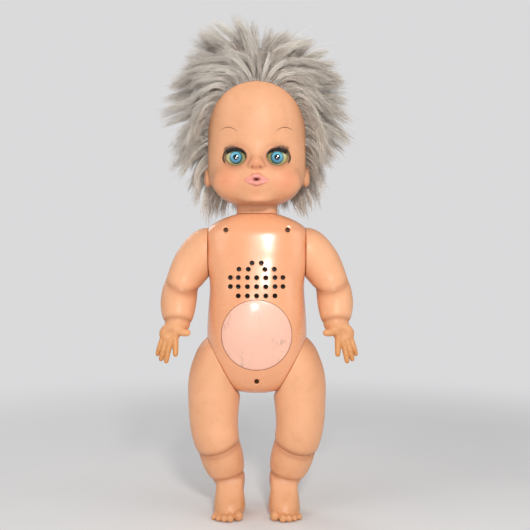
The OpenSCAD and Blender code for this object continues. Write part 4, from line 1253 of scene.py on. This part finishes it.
def guide_paths(roots, picks):
    """Where each tuft leaves the scalp, how it bends and where it ends on the hair's outline."""
    out = outward(roots)
    x, y, z = roots.T
    turn = np.arctan2(z - 388 - 14 * np.clip(y / 40, 0, 1), x)
    side = np.tanh((x - 4) / 13)
    front = np.clip((2 - y) / 26, 0, 1)
    drift = 0.16 * np.sin(x * 0.11 + 1.0) * np.cos(z * 0.09) + 0.1 * np.sin(z * 0.17 + y * 0.1)
    turn = turn - side * np.radians(20 + 52 * front) + drift + picks.normal(0, 0.07, len(roots))
    low = np.radians(-78)
    turn = np.where((side > 0) & (turn < low), low, turn)
    back = 0.02 + 0.012 * np.clip(-8 - y, 0, 30) + 0.42 * np.clip(out[:, 1] - 0.1, 0, 1)
    flow = np.stack([np.cos(turn), back + picks.normal(0, 0.05, len(roots)), np.sin(turn)], 1)
    down = np.clip((out[:, 1] - 0.45) / 0.35, 0, 1)[:, None]
    fall = np.stack([x / 80, np.full(len(x), 0.2), np.full(len(x), -1.0)], 1)
    flow = flow * (1 - down) + fall * down
    flow /= np.linalg.norm(flow, axis=1)[:, None]
    lifted = roots + out * picks.uniform(7, 17, len(roots))[:, None]
    t = np.arange(0, 150, 1.5)
    trail = lifted[:, None] + flow[:, None] * t[None, :, None]
    inside = hair_share(trail[..., 0], trail[..., 1], trail[..., 2]) < 1.0
    last = np.where(inside.any(1), inside.shape[1] - 1 - inside[:, ::-1].argmax(1), 16)
    length = np.clip(t[last], 22, 95) * picks.uniform(0.92, 1.06, len(roots))
    tip = lifted + flow * length[:, None]
    tip[:, 2] -= np.clip(np.abs(tip[:, 0]) / 90, 0, 1) * picks.uniform(0, 9, len(roots))
    bend = lifted + (out * 0.3 + flow * 0.6) * (length * 0.36)[:, None]
    bend[:, 2] += 0.1 * length * np.clip((z - 360) / 50, 0, 1)
    return bend, tip


def hair_lines(roots, owners, bend, tip, guide_roots, picks):
    """Every hair follows its tuft and gathers towards the tuft's tip."""
    count = len(roots)
    s = np.linspace(0, 1, STRAND_STEPS)[None, :, None]
    shift = roots - guide_roots[owners]
    spread = picks.normal(0, 1, (count, 3)) * picks.gamma(1.5, 1.15, count)[:, None]
    b = bend[owners] + shift * 0.8 + picks.normal(0, 1.1, (count, 3))
    e = tip[owners] + shift * 0.7 + spread
    reach = picks.uniform(0.74, 1.04, count)[:, None]
    e = roots + (e - roots) * reach
    lines = (1 - s) ** 2 * roots[:, None] + 2 * s * (1 - s) * b[:, None] + s**2 * e[:, None]
    wave = np.sin(s * picks.uniform(3, 8, (count, 1, 1)) + picks.uniform(0, 6.3, (count, 1, 1)))
    return lines + wave * s * picks.normal(0, 0.6, (count, 1, 3))


def hair_colours(owners, groups, picks):
    """Ash silver hairs: tufts and single hairs differ, and the roots lie in shade."""
    count = len(owners)
    light = picks.beta(1.6, 1.3, groups)[owners] * 0.45 + picks.beta(1.1, 0.9, count) * 0.55
    dark, pale = np.array(srgb(146, 124, 108)), np.array(srgb(255, 251, 240))
    colour = dark + (pale - dark) * light[:, None]
    s = np.linspace(0, 1, STRAND_STEPS)
    shade = 0.66 + 0.4 * np.clip(s * 2.4, 0, 1)
    return colour[:, None] * shade[None, :, None]


def face_plugs(scalp):
    """The row of root holes round the face, each at the scalp point nearest to the arch."""
    turns = np.radians(np.linspace(-8, 188, 92))
    radius = FACE_HALF_W + 0.8
    arch = np.stack([radius * np.cos(turns), np.zeros(92), ARCH_Z + radius * np.sin(turns)], 1)
    near = np.linalg.norm((scalp[None] - arch[:, None]) * (1, 0, 1), axis=2) + (scalp[None, :, 1] > 2) * 5.0
    return scalp[near.argmin(1)]


def strand_roots(scalp, plugs, picks):
    """Where the hairs stand: all over, and closer on the top, at the back and in the plugs."""
    top = scalp[(scalp[:, 2] > 415) & (scalp[:, 1] < 15)]
    rear = scalp[scalp[:, 1] > 40]
    roots = [places[picks.choice(len(places), count)]
             for places, count in ((scalp, STRANDS), (top, TOP_STRANDS), (rear, REAR_STRANDS))]
    roots = np.concatenate(roots + [np.repeat(plugs, PLUG_STRANDS, axis=0)])
    return roots + picks.normal(0, 0.35, roots.shape)


def make_strands(scalp, plugs, picks, silver):
    """The hairs, in tufts that follow guides, shared out over a few pieces."""
    guides = np.concatenate([plugs[::2], scalp[picks.choice(len(scalp), GUIDES, replace=False)]])
    bend, tip = guide_paths(guides, picks)
    roots = strand_roots(scalp, plugs, picks)
    owners = np.concatenate([
        np.linalg.norm(part[:, None] - guides[None], axis=2).argmin(1) for part in np.array_split(roots, 12)
    ])
    lines = hair_lines(roots, owners, bend, tip, guides, picks)
    colours = hair_colours(owners, len(guides), picks)
    taper = np.linspace(1, 0.4, STRAND_STEPS)[None] * picks.uniform(0.14, 0.25, (len(roots), 1))
    order = picks.permutation(len(roots))
    for n, part in enumerate(np.array_split(order, STRAND_PIECES)):
        strands = tubes(f"hair_strands_{n + 1}", lines[part], taper[part], colours[part])
        settle(strands, "head", silver)


def make_plugs(plugs, picks, silver):
    """The pale stubs that stand in the root holes round the face."""
    dots = np.repeat(plugs, PLUG_STUBS, axis=0) + picks.normal(0, 0.3, (len(plugs) * PLUG_STUBS, 3))
    reach = outward(dots) * 2.6 + picks.normal(0, 0.5, dots.shape)
    stubs = dots[:, None] + reach[:, None] * np.linspace(-0.4, 1, 4)[None, :, None]
    knots = tubes("hair_plugs", stubs, np.full(stubs.shape[:2], 0.2), np.full(stubs.shape, 0.8))
    settle(knots, "head", silver)


def make_hair_mass(silver):
    """The combed mass under the loose hairs, which stands for the CAD's hair; its darker streaked colour is
    painted shade deep in the hair.
    """
    cap = Clay((-76, -40, 326), (76, 88, 480), 1.6)
    x, y, z = (g.astype(float) for g in np.meshgrid(*cap.spans, indexing="ij"))
    depth = 12 + (y - 12) / np.where(y > 12, 0.73, 0.84)
    body = (hair_share(x, depth, z) - 0.68) * 60
    loft = cap.loft(HEAD_ROWS, HEAD_POWER)
    window = np.maximum(np.hypot(x, np.maximum(z - ARCH_Z, 0)) - FACE_HALF_W - 1.5, y - 4)
    ears = cap.blob((0, 2, 336), (62, 11, 15))
    cap.d[...] = np.maximum(np.maximum(body, 0.5 - loft), np.maximum(-window, -ears))
    cap.d[...] = np.maximum(cap.d, 332 - z)
    points, quads = cap.mesh()
    mass = build("hair_mass", points, quads)
    # Painted shade: streaked tones darker than the loose hairs, standing for the shade deep in the hair.
    turn = np.arctan2(points[:, 2] - 398, points[:, 0])
    streak = 0.5 + 0.3 * np.sin(turn * 61) + 0.3 * np.sin(turn * 23 + points[:, 1] * 0.06)
    streak = np.clip(streak, 0, 1)[:, None]
    paint(mass, np.array(srgb(122, 108, 98)) * (1 - streak) + np.array(srgb(150, 136, 124)) * streak)
    settle(mass, "head", silver, ["hair"])


def make_hair(scalp):
    picks = np.random.default_rng(21)
    plugs = face_plugs(scalp)
    silver = fibre("hair_fibre", 0.34, 0.35)
    make_strands(scalp, plugs, picks, silver)
    make_plugs(plugs, picks, silver)
    make_hair_mass(silver)


make_hair(scalp_places(head_points))


def make_brows():
    """Thin painted brows as raised strokes on the forehead."""
    paint_mix = fibre("brow_paint", 0.6, 0.0)
    rows = smooth_rows(HEAD_ROWS, 6)
    for side, name in ((1, "left"), (-1, "right")):
        t = np.linspace(0, 1, 22)
        x = side * (18.3 + 16.2 * t)
        z = 371.6 + 13 * t * (1 - t) + 2.2 * t
        w, f = (np.interp(z, rows[:, 0], rows[:, i]) for i in (1, 2))
        y = -f * (1 - np.abs(x / w) ** HEAD_POWER) ** (1 / HEAD_POWER) - 0.02
        line = np.stack([x, y, z], 1)[None]
        radii = (0.16 + 0.26 * np.sin(math.pi * np.clip(t * 0.9 + 0.08, 0, 1)))[None]
        brow = tubes(f"brow_{name}_looks", line, radii, np.tile(srgb(132, 84, 58), (1, 22, 1)))
        settle(brow, "head", paint_mix)


make_brows()

# ---- Finishes of the CAD nodes that stay in view ----

SLOT_FINISH = {
    "steel": plain("steel", (0.55, 0.55, 0.56), 0.32, 1.0),
    "dark_steel": plain("dark_steel", (0.3, 0.15, 0.085), 0.5, 0.5),
    "nickel": plain("nickel", (0.62, 0.6, 0.56), 0.26, 1.0),
    "lead": plain("lead", (0.28, 0.28, 0.3), 0.55, 0.8),
    "magnet": plain("magnet", (0.09, 0.09, 0.1), 0.5, 0.3),
    "copper": plain("copper", (0.75, 0.36, 0.2), 0.3, 1.0, stretch=(1, 12, 1)),
    "cone_paper": plain("cone_paper", (0.11, 0.1, 0.1), 0.85, depth=0.15),
    "board": plain("board", (0.06, 0.22, 0.1), 0.45),
    "black_plastic": plain("black_plastic", (0.03, 0.03, 0.032), 0.45),
    "ivory_plastic": plain("ivory_plastic", (0.7, 0.66, 0.55), 0.4),
    "cell_wrap": plain("cell_wrap", (0.07, 0.12, 0.3), 0.3, 0.2),
    "wire_red": plain("wire_red", (0.5, 0.03, 0.03), 0.45),
    "wire_black": plain("wire_black", (0.02, 0.02, 0.02), 0.45),
    "wire_white": plain("wire_white", (0.75, 0.74, 0.7), 0.45),
    "eye_lid": plain("eye_lid", tuple(SKIN * 0.8), 0.45),
    "body_plastic": BODY_PLASTIC,
    "button_plastic": DISC_PLASTIC,
    "vinyl_head": HEAD_VINYL,
    "vinyl_limb": LIMB_VINYL,
}


def make_spring():
    """The disc's return spring."""
    turns, step, sides, wire, reach, front, length = 5, 24, 8, 0.55, 7.2, -38.0, 12.45
    last = turns * step
    points = []
    for i in range(last + 1):
        a = 2 * math.pi * i / step
        for k in range(sides):
            b = 2 * math.pi * k / sides
            r = reach + wire * math.cos(b)
            y = front + length * i / last + wire * math.sin(b)
            points.append((r * math.cos(a), y, BUTTON_Z + r * math.sin(a)))
    ends = [face[::-1] for face in end_faces(last + 1, sides)]
    spring = build("return_spring", points, ring_faces(last + 1, sides) + ends)
    settle(spring, "torso", SLOT_FINISH["steel"], ["button_spring"])
    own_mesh(spring)


make_spring()
# Nodes whose finish isn't their slot's: they are seen only in a shadowed gap or through the sound holes, and are
# darkened there as painted shade.
NODE_FINISH = {}
# Painted shade: the eye cups are a dark brown, so the gap round each eyeball reads as shadow.
for node in ("eye_cup_left", "eye_cup_right"):
    NODE_FINISH[node] = plain(node, srgb(104, 84, 54), 0.6)
# Painted shade: the speaker's clamp, screws and basket are near black, so the sound holes read as dark.
for node in ("speaker_clamp", "speaker_screws", "speaker_basket"):
    NODE_FINISH[node] = plain(node, (0.05, 0.028, 0.02), 0.7, 0.2)
for part in frame["record"]["subparts"]:
    shown = frame["nodes"][part["node"]]
    finish = NODE_FINISH.get(part["node"], SLOT_FINISH.get(part["material_slot"]))
    if finish and not shown.hide_render:
        shown.data.materials.clear()
        shown.data.materials.append(finish)
